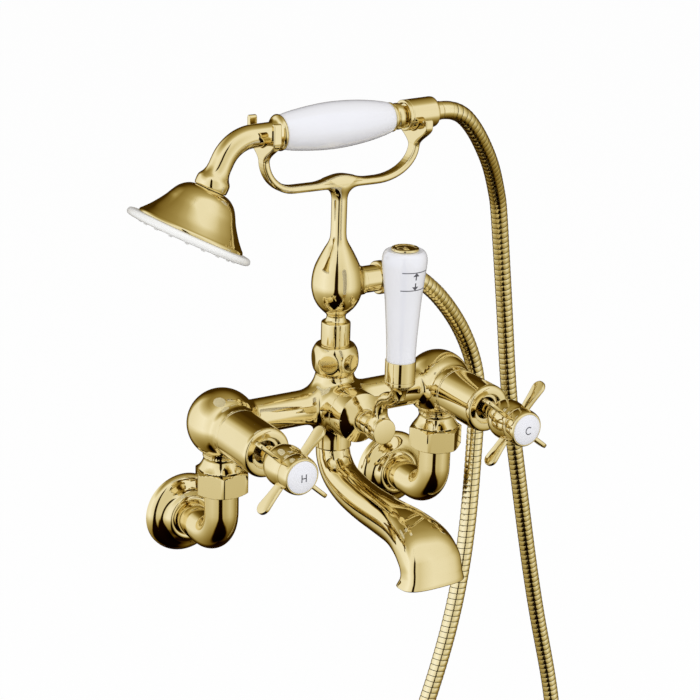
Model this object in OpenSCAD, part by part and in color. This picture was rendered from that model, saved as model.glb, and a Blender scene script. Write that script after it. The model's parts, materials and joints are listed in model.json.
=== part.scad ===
// Wall-mounted bath shower mixer with cradle, hand shower and hose
// Millimetres, Z up, wall plane at Y 0, the front faces -Y
// The origin lies on the wall plane, halfway between the two inlets

/* [Layout] */
// distance between the hot and cold inlets
tap_centres = 180; // [176:1:184]
// distance from the wall to the crossbar axis
bar_out = 60; // [57:1:63]
// height of the crossbar axis above the inlets
bar_rise = 89.5; // [86:0.5:92]

/* [Body] */
// diameter of the round valve housings
ball_d = 49; // [48:0.5:51]
// diameter of the crossbar
bar_d = 25; // [24:0.5:26]
// diameter of the diverter barrel
diverter_d = 36; // [34:0.5:37]

/* [Inlets] */
// diameter of the wall flanges
flange_d = 59; // [54:1:62]
// diameter of the inlet elbows
elbow_d = 24; // [22:0.5:25]
// width of the union nuts across flats
union_af = 35; // [34:0.5:37]

/* [Taps] */
// diameter of the bonnets
bonnet_d = 35; // [33:0.5:36]
// tip to tip span of the cross handles
handle_span = 70; // [60:1:74]
// thickness of the handle blades
blade_t = 3; // [2.4:0.2:4]
// diameter of the index discs
index_d = 22; // [20:0.5:23]

/* [Diverter lever] */
// largest diameter of the lever grip
lever_grip_d = 30; // [27:0.5:32]
// length of the lever grip
lever_grip_l = 78; // [74:1:82]

/* [Spout] */
// reach of the spout mouth in front of the crossbar
spout_reach = 133; // [120:1:142]
// width of the spout mouth
mouth_w = 44; // [38:1:46]

/* [Hand shower] */
// largest diameter of the handset grip
grip_d = 32; // [28:0.5:33]
// diameter of the spray plate
rose_d = 88; // [80:1:92]
// diameter of the shower hose
hose_d = 13; // [12.4:0.2:13.4]

/* [Hidden] */
$fn = 48;

// clearances
fit = 0.05;
seat_gap = 0.1;
air = 0.4;
seam = 0.02;

// finishes
gold = [0.83, 0.72, 0.38];
brass = [0.72, 0.58, 0.26];
white = [0.95, 0.95, 0.94];
rubber = [0.12, 0.12, 0.12];
stone = [0.86, 0.85, 0.82];

half = tap_centres / 2;
ball_r = ball_d / 2;
bar_r = bar_d / 2;
div_r = diverter_d / 2;
elbow_r = elbow_d / 2;
bonnet_r = bonnet_d / 2;

// inlet heights, measured from the crossbar axis
bend_r = 23;
bore_r = 8;
tail_r = 12.6;
thread_r = 14;
nut_top = -33.5;
nut_low = -50.5;
shoulder = nut_low + 4.9;
collar_top = nut_low + 8.5;
washer_top = collar_top + 2.4;
tail_out = 15;
pipe_thread_r = 10.48;

// valve depths, measured forwards from the crossbar axis
boss_front = 24;
cart_r = 10;
disc_r = 8;
stem_r = 4.5;
bonnet_front = 63.6;
blade_mid = 95;
bezel_front = 109;
bezel_r = index_d / 2 + 1.6;
left_turn = 48;
right_turn = 51;

// diverter depths
spool_r = 9;
div_front = 42;
lever_out = 83;
lever_foot = 41;
ferrule_h = 16.4;
ferrule_r = 10.4;

// column heights
col_r = 13.4;
col_low = -33;
col_top = 22;
foot_r = 10.4;
foot_z = 33.4;
post_top = 144;
post_r = 5.5;
yoke_t = 5.2;
yoke_z = post_top + 13.1;
yoke_r = 22.5;
yoke_w = 9.6;
hump = 4.2;
hump_x = 22;
arm_z = yoke_z + yoke_t / 2 + yoke_r;
outlet_z = 88;

// hand shower
axis_z = arm_z + 18.9;
axis_tilt = 1.9;
neck_r = 7.9;
fork_x = 60;
fork_t = 6;
fork_w = 18.6;
fork_in = 14.8;
tilt = 61.1;
goose_r = 26;
corner_x = -84.07;
plate_run = 70.27;
grip_left = -47.7;
grip_right = 38.5;
collar_left = grip_left - 7.4;
nut_left = 49.7;
nut_right = 75.5;
thread_end = nut_left + 9;
hose_nut_r = 10.8;
hose_r = hose_d / 2;
tail_end = 80.5;

// hose fittings and hose, measured from the crossbar axis
outlet_nut = 32.2;
outlet_nut_end = 42;
outlet_end = 46;
hose_start = 38.5;
hose_stop = nut_left + 13.5;
hose_neck_r = 5.3;
hose_bore_r = 4;
hose_sides = 8;
rib_count = 196;
rib_depth = 0.7;
bore_rings = 100;
hose_route = [
    [47, 0, 88], [53, 0, 88], [59, 0, 87], [64.8, 0, 84.9], [70.2, 0.3, 81.8], [75, 0.8, 78.2],
    [79.6, 1.4, 74.4], [86, 2.5, 69], [93.4, 4.3, 61.8], [100.4, 6.2, 54.4], [107.7, 8.2, 45.8],
    [114.9, 10.2, 36.4], [121.6, 12, 26], [128.2, 13.5, 14], [134, 14.2, -1], [137.5, 13.5, -20],
    [131, 6, -63], [124, -2, -117], [112, -9, -178], [92, -13, -241], [69, -13, -303], [58, -10, -368],
    [74, -5, -431], [122, 2, -473], [184, 11, -476], [234, 21, -440], [256, 31, -382], [252, 39, -318],
    [236, 44, -254], [221, 46, -184], [206, 46, -111], [192, 46, -45], [184, 45, 17], [174, 42, 75],
    [164, 36, 117.5], [159.7, 33, 126.5], [152.4, 27.5, 139.3], [145.1, 22, 150.6], [137.4, 17, 161],
    [129.6, 12.6, 170.4], [122.6, 8.8, 178.4], [117, 6.2, 184.4], [112, 4.2, 189.4],
    [107.7, 2.8, 193.4], [103.5, 1.6, 196.8], [99.3, 0.8, 199.5], [94.9, 0.3, 201.6],
    [90.2, 0, 203.05], [85.4, 0, 203.75], [80.46, 0, 203.77]
];

module at_bar() {
    translate([0, -bar_out, bar_rise]) children();
}

module at_valve(side) {
    at_bar() translate([side * half, 0, 0]) children();
}

module at_inlet(side) {
    translate([side * half, 0, 0]) children();
}

module at_hand() {
    at_bar() translate([0, 0, axis_z]) rotate([0, -axis_tilt, 0]) children();
}

module along_x(r, a, b) {
    translate([a, 0, 0]) rotate([0, 90, 0]) cylinder(r = r, h = b - a);
}

module along_y(r, a, b) {
    translate([0, -a, 0]) rotate([90, 0, 0]) cylinder(r = r, h = b - a);
}

module along_z(r, a, b) {
    translate([0, 0, a]) cylinder(r = r, h = b - a);
}

module turn_x(p) {
    rotate([0, 90, 0]) rotate_extrude() polygon(p);
}

module turn_y(p) {
    rotate([90, 0, 0]) rotate_extrude() polygon(p);
}

module turn_z(p) {
    rotate_extrude() polygon(p);
}

// Inlets

module wall_flange(side) {
    r = flange_d / 2;
    b = elbow_r + seat_gap;
    color(gold) at_inlet(side) turn_y([
        [b, 0], [r, 0], [r, 2.2], [r - 0.8, 3.8], [r - 2.6, 4.8],
        [r - 5, 5], [r - 7.4, 6], [r - 9.4, 8.2], [r - 10.4, 11.4],
        [r - 11.4, 13.4], [r - 13, 14.4], [b + 1.6, 14.4], [b, 13.6]
    ]);
}

module wall_flange_left() wall_flange(-1);
module wall_flange_right() wall_flange(1);

module elbow_run(r, back, r_back, top) {
    along_y(r_back, -back, 1);
    along_y(r, 0, bar_out - bend_r);
    translate([0, -(bar_out - bend_r), bend_r])
        multmatrix([[0, 0, 1, 0], [-1, 0, 0, 0], [0, -1, 0, 0], [0, 0, 0, 1]])
            rotate_extrude(angle = 90) translate([bend_r, 0]) circle(r);
    translate([0, -bar_out, 0]) along_z(r, bend_r, bar_rise + top);
}

module inlet_elbow(side) {
    color(gold) at_inlet(side) difference() {
        union() {
            elbow_run(elbow_r, tail_out, pipe_thread_r, collar_top);
            translate([0, -bar_out, bar_rise])
                along_z(thread_r - 0.6, shoulder + fit, collar_top);
        }
        elbow_run(bore_r, tail_out + 1, bore_r, collar_top + 1);
    }
}

module inlet_elbow_left() inlet_elbow(-1);
module inlet_elbow_right() inlet_elbow(1);

module union_nut(side, turn) {
    rc = union_af / 2 / cos(30);
    ra = union_af / 2;
    color(gold) at_valve(side) difference() {
        intersection() {
            rotate([0, 0, turn]) translate([0, 0, nut_low])
                cylinder(r = rc, h = nut_top - nut_low, $fn = 6);
            turn_z([
                [0, nut_low], [ra - 0.3, nut_low], [rc + 0.1, nut_low + 1.6],
                [rc + 0.1, nut_top - 1.6], [ra - 0.3, nut_top], [0, nut_top]
            ]);
        }
        along_z(thread_r + fit, shoulder, nut_top + 1);
        along_z(elbow_r + seat_gap, nut_low - 1, shoulder + 1);
    }
}

module union_nut_left() union_nut(-1, 8);
module union_nut_right() union_nut(1, 39);

module union_washers() {
    color(rubber) for (side = [-1, 1]) at_valve(side) difference() {
        along_z(thread_r - 0.7, collar_top, washer_top);
        along_z(bore_r + 1, collar_top - 1, washer_top + 1);
    }
}

// Body

module body_solid() {
    for (side = [-1, 1]) translate([side * half, 0, 0]) {
        difference() {
            sphere(ball_r, $fn = 64);
            along_y(ball_r, boss_front, ball_r + boss_front);
        }
        along_y(bonnet_r, 0, boss_front);
        along_z(tail_r, nut_top - 3, 0);
        turn_z([
            [0, nut_top + seat_gap], [17, nut_top + seat_gap], [16.6, nut_top + 1], [15.4, nut_top + 2.6],
            [14, nut_top + 4.8], [13.1, nut_top + 7], [12.9, nut_top + 8.6], [13.6, nut_top + 11],
            [0, nut_top + 11]
        ]);
        along_z(thread_r, washer_top, nut_top - 1.4);
    }
    along_x(bar_r, -half, half);
    turn_x([
        [0, -34], [bar_r, -34], [bar_r + 0.9, -26], [bar_r + 3, -20],
        [bar_r + 6.5, -15.5], [bar_r + 6.5, 15.5], [bar_r + 3, 20],
        [bar_r + 0.9, 26], [bar_r, 34], [0, 34]
    ]);
    turn_z([
        [0, col_low], [col_r - 1.2, col_low], [col_r, col_low + 8], [col_r + 1, -16],
        [col_r + 1, 10], [col_r, 15], [col_r, col_top], [0, col_top]
    ]);
    along_z(col_r - 1, col_top - 1, foot_z);
    along_y(div_r, 0, boss_front);
}

module body_casting() {
    color(gold) at_bar() difference() {
        body_solid();
        along_x(7.5, -half, half);
        for (side = [-1, 1]) translate([side * half, 0, 0]) {
            along_y(cart_r + fit, -9, boss_front + 1);
            along_z(bore_r + 0.5, washer_top - 1, 0);
        }
        along_z(bore_r, col_low - 1, foot_z + 1);
        along_y(spool_r + fit, -12, boss_front + 1);
    }
}

// Spout: rings of rounded outline along a bent line

sp_y = [0, 0.02, 0.085, 0.21, 0.375, 0.555, 0.735, 0.868, 0.948, 0.98, 0.984];
sp_z = [-33, -42, -51.5, -57.5, -60, -60, -59.5, -62.5, -69.5, -78, -86];
sp_a = [0, 12, 42, 76, 89, 92, 88, 62, 32, 12, 6];
sp_w = [12.2, 12.6, 13, 13.6, 14.2, 15.2, 17.6, 20.4, 21.6, 22, 22];
sp_h = [12.2, 12.6, 13, 13.4, 13.6, 13.6, 13.4, 13, 12, 11, 11.2];
sp_n = [2, 2, 2, 2, 2, 2.1, 2.3, 2.6, 3, 3.2, 3.2];
sp_sides = 28;

function sgn_pow(v, e) = sign(v) * pow(abs(v), e);

function sp_ring(i, wall, dz) = [
    for (k = [0 : sp_sides - 1])
        let (
            t = 360 * k / sp_sides,
            e = 2 / sp_n[i],
            grow = i > 4 ? mouth_w / 44 : 1,
            u = (sp_w[i] * grow - wall) * sgn_pow(cos(t), e),
            v = (sp_h[i] - wall) * sgn_pow(sin(t), e)
        )
        [u, -spout_reach * sp_y[i] + v * cos(sp_a[i]), sp_z[i] + dz - v * sin(sp_a[i])]
];

function quad_strip(a, b, n) = [
    for (k = [0 : n - 1]) each [
        [a + k, a + (k + 1) % n, b + k],
        [a + (k + 1) % n, b + (k + 1) % n, b + k]
    ]
];

module ring_solid(rings, n) {
    m = len(rings);
    pts = [for (r = rings) each r];
    sides = [for (i = [0 : m - 2]) each quad_strip(i * n, (i + 1) * n, n)];
    low = [[for (k = [n - 1 : -1 : 0]) k]];
    high = [[for (k = [0 : n - 1]) (m - 1) * n + k]];
    polyhedron(pts, concat(sides, low, high), convexity = 6);
}

module spout() {
    last = len(sp_y) - 1;
    wall = 2.6;
    outer = [for (i = [0 : last]) sp_ring(i, 0, 0)];
    inner = [
        for (i = [-1 : last + 1])
            sp_ring(max(0, min(last, i)), wall, i < 0 ? 1 : i > last ? -1 : 0)
    ];
    color(gold) at_bar() difference() {
        ring_solid(outer, sp_sides);
        ring_solid(inner, sp_sides);
    }
}

// Column nut and cradle

module column_nut() {
    rs = 17.2;
    mid = 33.3;
    color(gold) at_bar() difference() {
        intersection() {
            translate([0, 0, mid]) sphere(rs, $fn = 64);
            along_z(rs, col_top + fit, 44);
            rotate([0, 0, 12]) along_z(15.7 / cos(30), 0, 60, $fn = 6);
        }
        along_z(col_r - 1 + fit, 0, 36.4);
        along_z(foot_r + seat_gap, 0, 60);
    }
}

module cradle_pillar() {
    color(gold) at_bar() difference() {
        union() {
            turn_z([
                [0, foot_z], [foot_r + 1.4, foot_z], [foot_r + 1.4, 36.2], [foot_r, 36.2],
                [foot_r, 59.8], [10, 60.4], [8.6, 61], [7.4, 62.2], [6.8, 63.6], [6.8, 65], [7.6, 66.4],
                [10.4, 69], [13.6, 72.6], [16.2, 77.4], [17.8, 83], [18.1, 88],
                [17.6, 94], [16.2, 100], [14.2, 104.8], [11.9, 109.4], [9.4, 114], [7.2, 117.6],
                [6, 120.6], [post_r, 124], [post_r, post_top], [0, post_top]
            ]);
            translate([0, 0, outlet_z]) along_x(10.4, 0, 20);
        }
        along_z(5, foot_z - 1, outlet_z + 4);
        translate([0, 0, outlet_z]) along_x(5, 0, 12);
        translate([0, 0, outlet_z]) along_x(7.5 + fit, 10, 21);
        along_z(3 + fit, post_top - 9.5, post_top + 1);
    }
}

function flare(t) = yoke_w / 2 + (fork_w - yoke_w / 2) * (1 - cos(180 * t)) / 2;

module fork(side, seat_r, tip) {
    seat_z = axis_z + side * fork_x * tan(axis_tilt);
    low = arm_z - 1.5;
    high = arm_z + 14;
    prong = (fork_w - fork_in) / 2;
    translate([side * fork_x - fork_t / 2, 0, 0])
        multmatrix([[0, 0, 1, 0], [1, 0, 0, 0], [0, 1, 0, 0], [0, 0, 0, 1]])
            linear_extrude(fork_t) difference() {
                union() {
                    polygon(concat(
                        [for (t = [0 : 0.125 : 1]) [flare(t), low + (high - low) * t]],
                        [for (t = [1 : -0.125 : 0]) [-flare(t), low + (high - low) * t]]
                    ));
                    for (s = [-1, 1]) translate([s * (fork_w - prong), 0]) hull() {
                        translate([0, tip - prong]) circle(prong);
                        translate([-prong, high - 1]) square([2 * prong, 1]);
                    }
                }
                hull() {
                    translate([0, seat_z]) circle(seat_r);
                    translate([-fork_in, seat_z - 1]) square([2 * fork_in, 40]);
                }
            }
}

module yoke_outline() {
    cx = fork_x - yoke_r;
    top = yoke_z + yoke_t;
    fillet = 8;
    translate([-cx, yoke_z]) square([2 * cx, yoke_t]);
    polygon(concat(
        [[hump_x, top - 1], [-hump_x, top - 1]],
        [for (x = [-hump_x : 2 : hump_x]) [x, top + hump / 2 * (1 + cos(180 * x / hump_x))]]
    ));
    difference() {
        translate([-post_r - fillet, yoke_z - fillet]) square([2 * (post_r + fillet), fillet + 1]);
        for (side = [-1, 1]) translate([side * (post_r + fillet), yoke_z - fillet]) circle(fillet);
    }
    for (side = [-1, 1]) intersection() {
        translate([side * cx, arm_z]) difference() {
            circle(yoke_r + yoke_t / 2);
            circle(yoke_r - yoke_t / 2);
        }
        translate([side > 0 ? cx : -cx - 40, arm_z - 45]) square([40, 45]);
    }
}

module cradle_yoke() {
    color(gold) at_bar() union() {
        along_z(post_r, post_top + seat_gap, yoke_z + 1);
        translate([0, yoke_w / 2, 0]) rotate([90, 0, 0]) linear_extrude(yoke_w) yoke_outline();
        fork(-1, neck_r + air, axis_z + 8.4);
        fork(1, hose_nut_r + air, axis_z + 1);
        along_z(3, post_top - 9.4, yoke_z + 1);
    }
}

module hose_outlet() {
    color(gold) at_bar() translate([0, 0, outlet_z]) difference() {
        turn_x([
            [0, 12], [7.5, 12], [7.5, 20.1], [9.6, 20.1], [9.6, outlet_nut],
            [9, outlet_nut], [9, outlet_nut + 3], [0, outlet_nut + 3]
        ]);
        along_x(4.6, 11, outlet_nut + 4);
    }
}

// Taps

module bonnet(side) {
    r = bonnet_r;
    f = bonnet_front;
    color(gold) at_valve(side) turn_y([
        [13.4, boss_front + fit], [r, boss_front + fit], [r, boss_front + 1], [r - 0.4, boss_front + 1.4],
        [r, boss_front + 1.8], [r, f - 6], [r - 0.2, f - 3.2], [r - 0.8, f - 1.2],
        [r - 1.8, f - 0.2], [r - 2.8, f], [11, f], [10.4, f - 0.6], [10.4, f - 3],
        [8.2, f - 3], [8.2, f - 5.4], [13.4, f - 9]
    ]);
}

module bonnet_left() bonnet(-1);
module bonnet_right() bonnet(1);

module cartridge(side) {
    color(brass) at_valve(side) turn_y([
        [disc_r + fit, 0.2], [cart_r, 0.2], [cart_r, boss_front], [13, boss_front + fit],
        [13, boss_front + 4], [9, boss_front + 4], [9, 52], [stem_r + fit, 52],
        [stem_r + fit, 10], [disc_r + fit, 10]
    ]);
}

module cartridge_left() cartridge(-1);
module cartridge_right() cartridge(1);

module seat_discs() {
    color(stone) for (side = [-1, 1]) at_valve(side) difference() {
        along_y(disc_r, 0.2, 3.2);
        translate([4, 0, 0]) along_y(2.2, 0, 4);
        translate([-4, 0, 0]) along_y(2.2, 0, 4);
    }
}

module spindle(side) {
    color(brass) at_valve(side) turn_y([
        [0, 6.3], [7.4, 6.3], [7.4, 9.6], [stem_r, 9.6], [stem_r, 76],
        [3.6, 77], [3.6, 92], [0, 92]
    ]);
}

module moving_disc(side) {
    color(stone) at_valve(side) difference() {
        along_y(disc_r - fit, 3.25, 6.25);
        translate([0, 0, 4]) along_y(2.2, 3, 7);
        translate([0, 0, -4]) along_y(2.2, 3, 7);
    }
}

module hub(side) {
    color(gold) at_valve(side) turn_y([
        [stem_r + fit, 64.5], [6.2, 64.5], [6.6, 70], [7.6, 73], [9.6, 75.4], [12, 78.4],
        [13.6, 82], [14.4, 86], [14.2, 90], [13.4, 94], [12.4, 97], [12.4, 98.6],
        [3.6 + fit, 98.6], [3.6 + fit, 77], [stem_r + fit, 76]
    ]);
}

module blade_outline() {
    tip_r = 5.4;
    far = handle_span / 2;
    polygon([[11.6, -3.4], [far - tip_r, -tip_r], [far - tip_r, tip_r], [11.6, 3.4]]);
    translate([far - tip_r, 0]) circle(tip_r);
}

module blades(side, turn) {
    color(gold) at_valve(side) for (k = [0 : 3]) difference() {
        rotate([0, -(turn + 90 * k), 0]) translate([0, -blade_mid, -blade_t / 2])
            linear_extrude(blade_t) blade_outline();
        turn_y([
            [0, 80], [13.7 + fit, 80], [14.45 + fit, 86], [14.25 + fit, 90],
            [13.45 + fit, 94], [12.6 + fit, 97], [12.6 + fit, 104], [0, 104]
        ]);
    }
}

module bezel(side) {
    color(gold) at_valve(side) turn_y([
        [0, 98.7], [bezel_r - 0.4, 98.7], [bezel_r + 0.4, 99.6], [bezel_r + 0.6, 103],
        [bezel_r + 0.3, 107], [bezel_r - 0.3, 108.6], [bezel_r - 0.9, bezel_front],
        [index_d / 2 + fit, bezel_front], [index_d / 2 + fit, 107.4], [4.2, 107.4],
        [4.2, 102.6], [2.1, 102.6], [2.1, 99.4], [0, 99.4]
    ]);
}

module index_disc(side) {
    r = index_d / 2;
    color(white) at_valve(side) turn_y([
        [0, 107.45], [r, 107.45], [r, 109.2], [r - 0.6, 109.9], [r - 3, 110.7],
        [r - 7, 111.2], [0, 111.3]
    ]);
}

module handle_screw(side) {
    color(brass) at_valve(side) difference() {
        turn_y([[0, 99.45], [2, 99.45], [2, 102.65], [4, 102.65], [4, 105.6], [0, 105.6]]);
        rotate([90, 0, 0]) translate([0, 0, 103.6]) cylinder(r = 2, h = 3, $fn = 6);
    }
}

module hot_spindle() spindle(-1);
module hot_disc() moving_disc(-1);
module hot_hub() hub(-1);
module hot_blades() blades(-1, left_turn);
module hot_bezel() bezel(-1);
module hot_index() index_disc(-1);
module hot_screw() handle_screw(-1);
module cold_spindle() spindle(1);
module cold_disc() moving_disc(1);
module cold_hub() hub(1);
module cold_blades() blades(1, right_turn);
module cold_bezel() bezel(1);
module cold_index() index_disc(1);
module cold_screw() handle_screw(1);

// Diverter and lever

module diverter_bonnet() {
    r = div_r;
    color(gold) at_bar() turn_y([
        [spool_r - 1, boss_front + fit], [r, boss_front + fit], [r, div_front - 1],
        [r - 1, div_front], [8.2, div_front], [8.2, 33], [4 + seat_gap, 33],
        [4 + seat_gap, 29], [spool_r - 1, 29]
    ]);
}

module diverter_gland() {
    color(gold) at_bar() turn_y([
        [4 + fit, 33 + fit], [8.1, 33 + fit], [8.1, 44.6], [7.6, 45.4], [4 + fit, 45.4]
    ]);
}

module diverter_spindle() {
    color(brass) at_bar() difference() {
        turn_y([
            [0, -11], [spool_r, -11], [spool_r, 22], [4, 22], [4, 58], [0, 58]
        ]);
        along_z(5.5, -6, 14);
        along_y(5.5, -12, 2);
    }
}

module lever_arm() {
    sr = (lever_out - 60) / 2 / (1 - cos(75));
    rise = sr * sin(75);
    tube = 5.2;
    root = 8;
    z1 = lever_foot - 2 * rise;
    color(gold) at_bar() difference() {
        union() {
            turn_y([
                [0, 46], [6.6, 46], [7.2, 47], [7.2, 54], [8.4, 54.6], [9.1, 56],
                [9.1, 64], [8.6, 64.6], [0, 64.6]
            ]);
            translate([0, -60, 0]) difference() {
                cylinder(r1 = root, r2 = tube, h = z1);
                along_y(9.5, 4, 15);
            }
            translate([0, -60 - sr, z1])
                multmatrix([[0, 0, 1, 0], [1, 0, 0, 0], [0, 1, 0, 0], [0, 0, 0, 1]])
                    rotate_extrude(angle = 74.9) translate([sr, 0]) circle(tube);
            translate([0, -(lever_out + 60) / 2, z1 + rise]) rotate([75, 0, 0])
                along_z(tube + fit, -0.5, 0.5);
            translate([0, -lever_out + sr, lever_foot])
                multmatrix([[0, 0, 1, 0], [-1, 0, 0, 0], [0, -1, 0, 0], [0, 0, 0, 1]])
                    rotate([0, 0, 15]) rotate_extrude(angle = 59.9) translate([sr, 0]) circle(tube);
            translate([0, -lever_out, 0]) turn_z([
                [0, lever_foot - 10], [3, lever_foot - 10], [5.4, lever_foot - 6.4],
                [ferrule_r - 3, lever_foot - 2.8], [ferrule_r, lever_foot], [0, lever_foot]
            ]);
        }
        along_y(4 + fit, 45, 58 + fit);
        along_y(2.4, 57, 65);
        translate([0, -lever_out, 0]) along_z(3 + fit, lever_foot - 5, lever_foot + 1);
    }
}

module lever_hub_cap() {
    color(gold) at_bar() turn_y([
        [0, 58.4], [2.3, 58.4], [2.3, 64.65], [8.9, 64.65], [9.1, 65.2], [9.1, 66.4],
        [8.6, 67], [0, 67.2]
    ]);
}

module lever_ferrule() {
    color(gold) at_bar() translate([0, -lever_out, 0]) turn_z([
        [3 + fit, lever_foot + fit], [ferrule_r, lever_foot + fit],
        [ferrule_r, lever_foot + ferrule_h], [9.9, lever_foot + ferrule_h],
        [9.9, lever_foot + ferrule_h - 2], [3 + fit, lever_foot + ferrule_h - 2]
    ]);
}

module lever_grip() {
    z0 = lever_foot + ferrule_h - 1.9;
    l = lever_grip_l;
    r = lever_grip_d / 2;
    color(white) at_bar() translate([0, -lever_out, 0]) turn_z([
        [3.2, z0], [9.7, z0], [9.8, z0 + 3], [r * 0.68, z0 + l * 0.2],
        [r * 0.74, z0 + l * 0.38], [r * 0.81, z0 + l * 0.56], [r * 0.9, z0 + l * 0.72],
        [r * 0.97, z0 + l * 0.84], [r, z0 + l * 0.9], [r * 0.985, z0 + l * 0.945],
        [r * 0.92, z0 + l * 0.98], [r * 0.82, z0 + l], [8.8, z0 + l], [8.6, z0 + l - 1.4],
        [3.2, z0 + l - 1.4]
    ]);
}

module lever_tie_rod() {
    color(brass) at_bar() translate([0, -lever_out, 0])
        along_z(3, lever_foot - 5 + fit, lever_foot + ferrule_h + lever_grip_l - 3.4);
}

module lever_cap() {
    z1 = lever_foot + ferrule_h - 1.9 + lever_grip_l - 1.35;
    color(gold) at_bar() translate([0, -lever_out, 0]) difference() {
        turn_z([
            [0, z1], [8.4, z1], [8.5, z1 + 1.4], [9.2, z1 + 1.6], [9.2, z1 + 2.6],
            [8.4, z1 + 3.3], [6, z1 + 3], [2.4, z1 + 3.2], [0, z1 + 3.2]
        ]);
        along_z(1.2, z1 + 2, z1 + 5, $fn = 24);
    }
}

// Hand shower

module at_rose() {
    at_hand() translate([corner_x, 0, 0]) rotate([0, 90 - tilt, 0])
        translate([0, 0, -plate_run]) children();
}

module rose_bell() {
    s = rose_d / 88;
    color(gold) at_rose() turn_z([
        [33.6 * s, 3], [37 * s, 3], [37 * s, 4.4], [35.2 * s, 6.2], [31.6 * s, 10.4],
        [28 * s, 15.4], [25 * s, 20], [22.8, 24], [20.4, 28], [17.6, 31], [14, 33.2],
        [9.6, 34.4], [9.6, 31], [14, 29.6], [17.4, 26.6], [20.6, 22], [24.2 * s, 16],
        [28.4 * s, 9.8], [31.4 * s, 7], [33.6 * s, 5.2]
    ]);
}

module spray_plate() {
    s = rose_d / 88;
    color(white) at_rose() turn_z([
        [0, -2.4], [40 * s, -2.4], [42.6 * s, -1.8], [44 * s, -0.2], [43.6 * s, 1.6],
        [41.6 * s, 2.95], [33.4 * s, 2.95], [33.4 * s, 4.6], [31 * s, 4.6], [31 * s, 1], [0, 1]
    ]);
}

module spray_nozzles() {
    s = rose_d / 88;
    color(white) at_rose() for (ring = [[1, 0], [6, 11.5], [12, 22.5], [18, 33.5]])
        for (k = [0 : ring[0] - 1]) rotate([0, 0, 360 * k / ring[0]])
            translate([ring[1] * s, 0, -4.4]) cylinder(r1 = 1.1, r2 = 1.5, h = 2, $fn = 16);
}

module goose_run(r, low, far) {
    t = goose_r * tan(tilt / 2);
    along_x(r, corner_x + t + seam, far);
    along_x(r + fit, corner_x + t - 0.5, corner_x + t + 0.5);
    translate([corner_x + t, 0, -goose_r]) rotate([90, 0, 0])
        rotate([0, 0, 90]) rotate_extrude(angle = tilt) translate([goose_r, 0]) circle(r);
    translate([corner_x, 0, 0]) rotate([0, 90 - tilt, 0]) {
        along_z(r + fit, -t - 0.5, -t + 0.5);
        along_z(r, -plate_run + low, -t - seam);
    }
}

module gooseneck() {
    color(gold) at_hand() difference() {
        union() {
            goose_run(neck_r, 44, collar_left - seat_gap);
            translate([corner_x, 0, 0]) rotate([0, 90 - tilt, 0])
                translate([0, 0, -plate_run]) turn_z([
                    [0, 24], [9.5, 24], [9.5, 34.5], [11, 34.5], [11.4, 36], [11.4, 40.4],
                    [10.6, 42.4], [8.8, 45.4], [neck_r - 0.9, 50], [0, 50]
                ]);
        }
        goose_run(5, 23, collar_left + 1);
    }
}

module handset_collar() {
    x1 = grip_left;
    color(gold) at_hand() turn_x([
        [5, collar_left], [neck_r, collar_left], [8.3, x1 - 6.2], [9.4, x1 - 4.8], [11.2, x1 - 3.6],
        [12.2, x1 - 2.4], [12.4, x1 - 1.4], [12.1, x1 - 0.4], [11.4, x1 - fit], [5, x1 - fit]
    ]);
}

module handset_grip() {
    r = grip_d / 2;
    a = grip_left;
    l = grip_right - grip_left;
    color(white) at_hand() turn_x([
        [5.1, a], [r * 0.7, a], [r * 0.74, a + 1.2], [r * 0.83, a + l * 0.1], [r * 0.915, a + l * 0.22],
        [r * 0.975, a + l * 0.34], [r, a + l * 0.46], [r * 0.985, a + l * 0.58],
        [r * 0.925, a + l * 0.72], [r * 0.83, a + l * 0.85], [r * 0.7, a + l * 0.96],
        [r * 0.62, a + l], [5.1, a + l]
    ]);
}

module handset_tube() {
    color(brass) at_hand() difference() {
        along_x(5 - fit, grip_left - 6, grip_right + 6);
        along_x(4, grip_left - 7, grip_right + 7);
    }
}

module handset_tail() {
    b = grip_right + fit;
    color(gold) at_hand() turn_x([
        [5, b], [9.6, b], [10.2, b + 0.5], [10.2, b + 1.5], [9.6, b + 2], [8, b + 2.4], [8, b + 3.2],
        [8.8, b + 3.9], [9.2, b + 5], [9.2, b + 7], [8.8, b + 8.1], [8, b + 8.7], [7, b + 9.1],
        [7, nut_left + 0.6], [9, nut_left + 1.4], [9, thread_end], [5, thread_end]
    ]);
}

module hose_nut_handset() {
    color(gold) at_hand() turn_x([
        [9 + fit, nut_left], [9.8, nut_left], [10.5, nut_left + 0.6], [hose_nut_r, nut_left + 1.6],
        [hose_nut_r, nut_right - 2.6], [10.4, nut_right - 1.3], [9.2, nut_right - 0.4],
        [7, nut_right], [5.4, nut_right], [5.4, thread_end + 5], [9 + fit, thread_end + 2.6]
    ]);
}

module hose_ferrule_handset() {
    color(gold) at_hand() turn_x([
        [5.4, nut_right + fit], [6.4, nut_right + fit], [6.6, nut_right + 0.6],
        [6.6, tail_end - 0.6], [6.4, tail_end], [5.4, tail_end]
    ]);
}

module hose_washer_handset() {
    color(rubber) at_hand() difference() {
        along_x(8.9, thread_end, thread_end + 2.4);
        along_x(5, thread_end - 1, thread_end + 4);
    }
}

module hose_nut_outlet() {
    a = outlet_nut;
    b = outlet_nut_end;
    color(gold) at_bar() translate([0, 0, outlet_z]) turn_x([
        [9 + fit, a + fit], [11.2, a + fit], [12, a + 1], [12, b - 4.4], [10.6, b - 2.2],
        [7.8, b - 0.6], [7.2, b], [5.4, b], [5.4, b - 2.4], [9 + fit, a + 5.5]
    ]);
}

module hose_ferrule_outlet() {
    a = outlet_nut_end + fit;
    b = outlet_end;
    color(gold) at_bar() translate([0, 0, outlet_z]) turn_x([
        [5.4, a], [6.4, a], [6.6, a + 0.6], [6.6, b - 0.6], [6.4, b], [5.4, b]
    ]);
}

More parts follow.
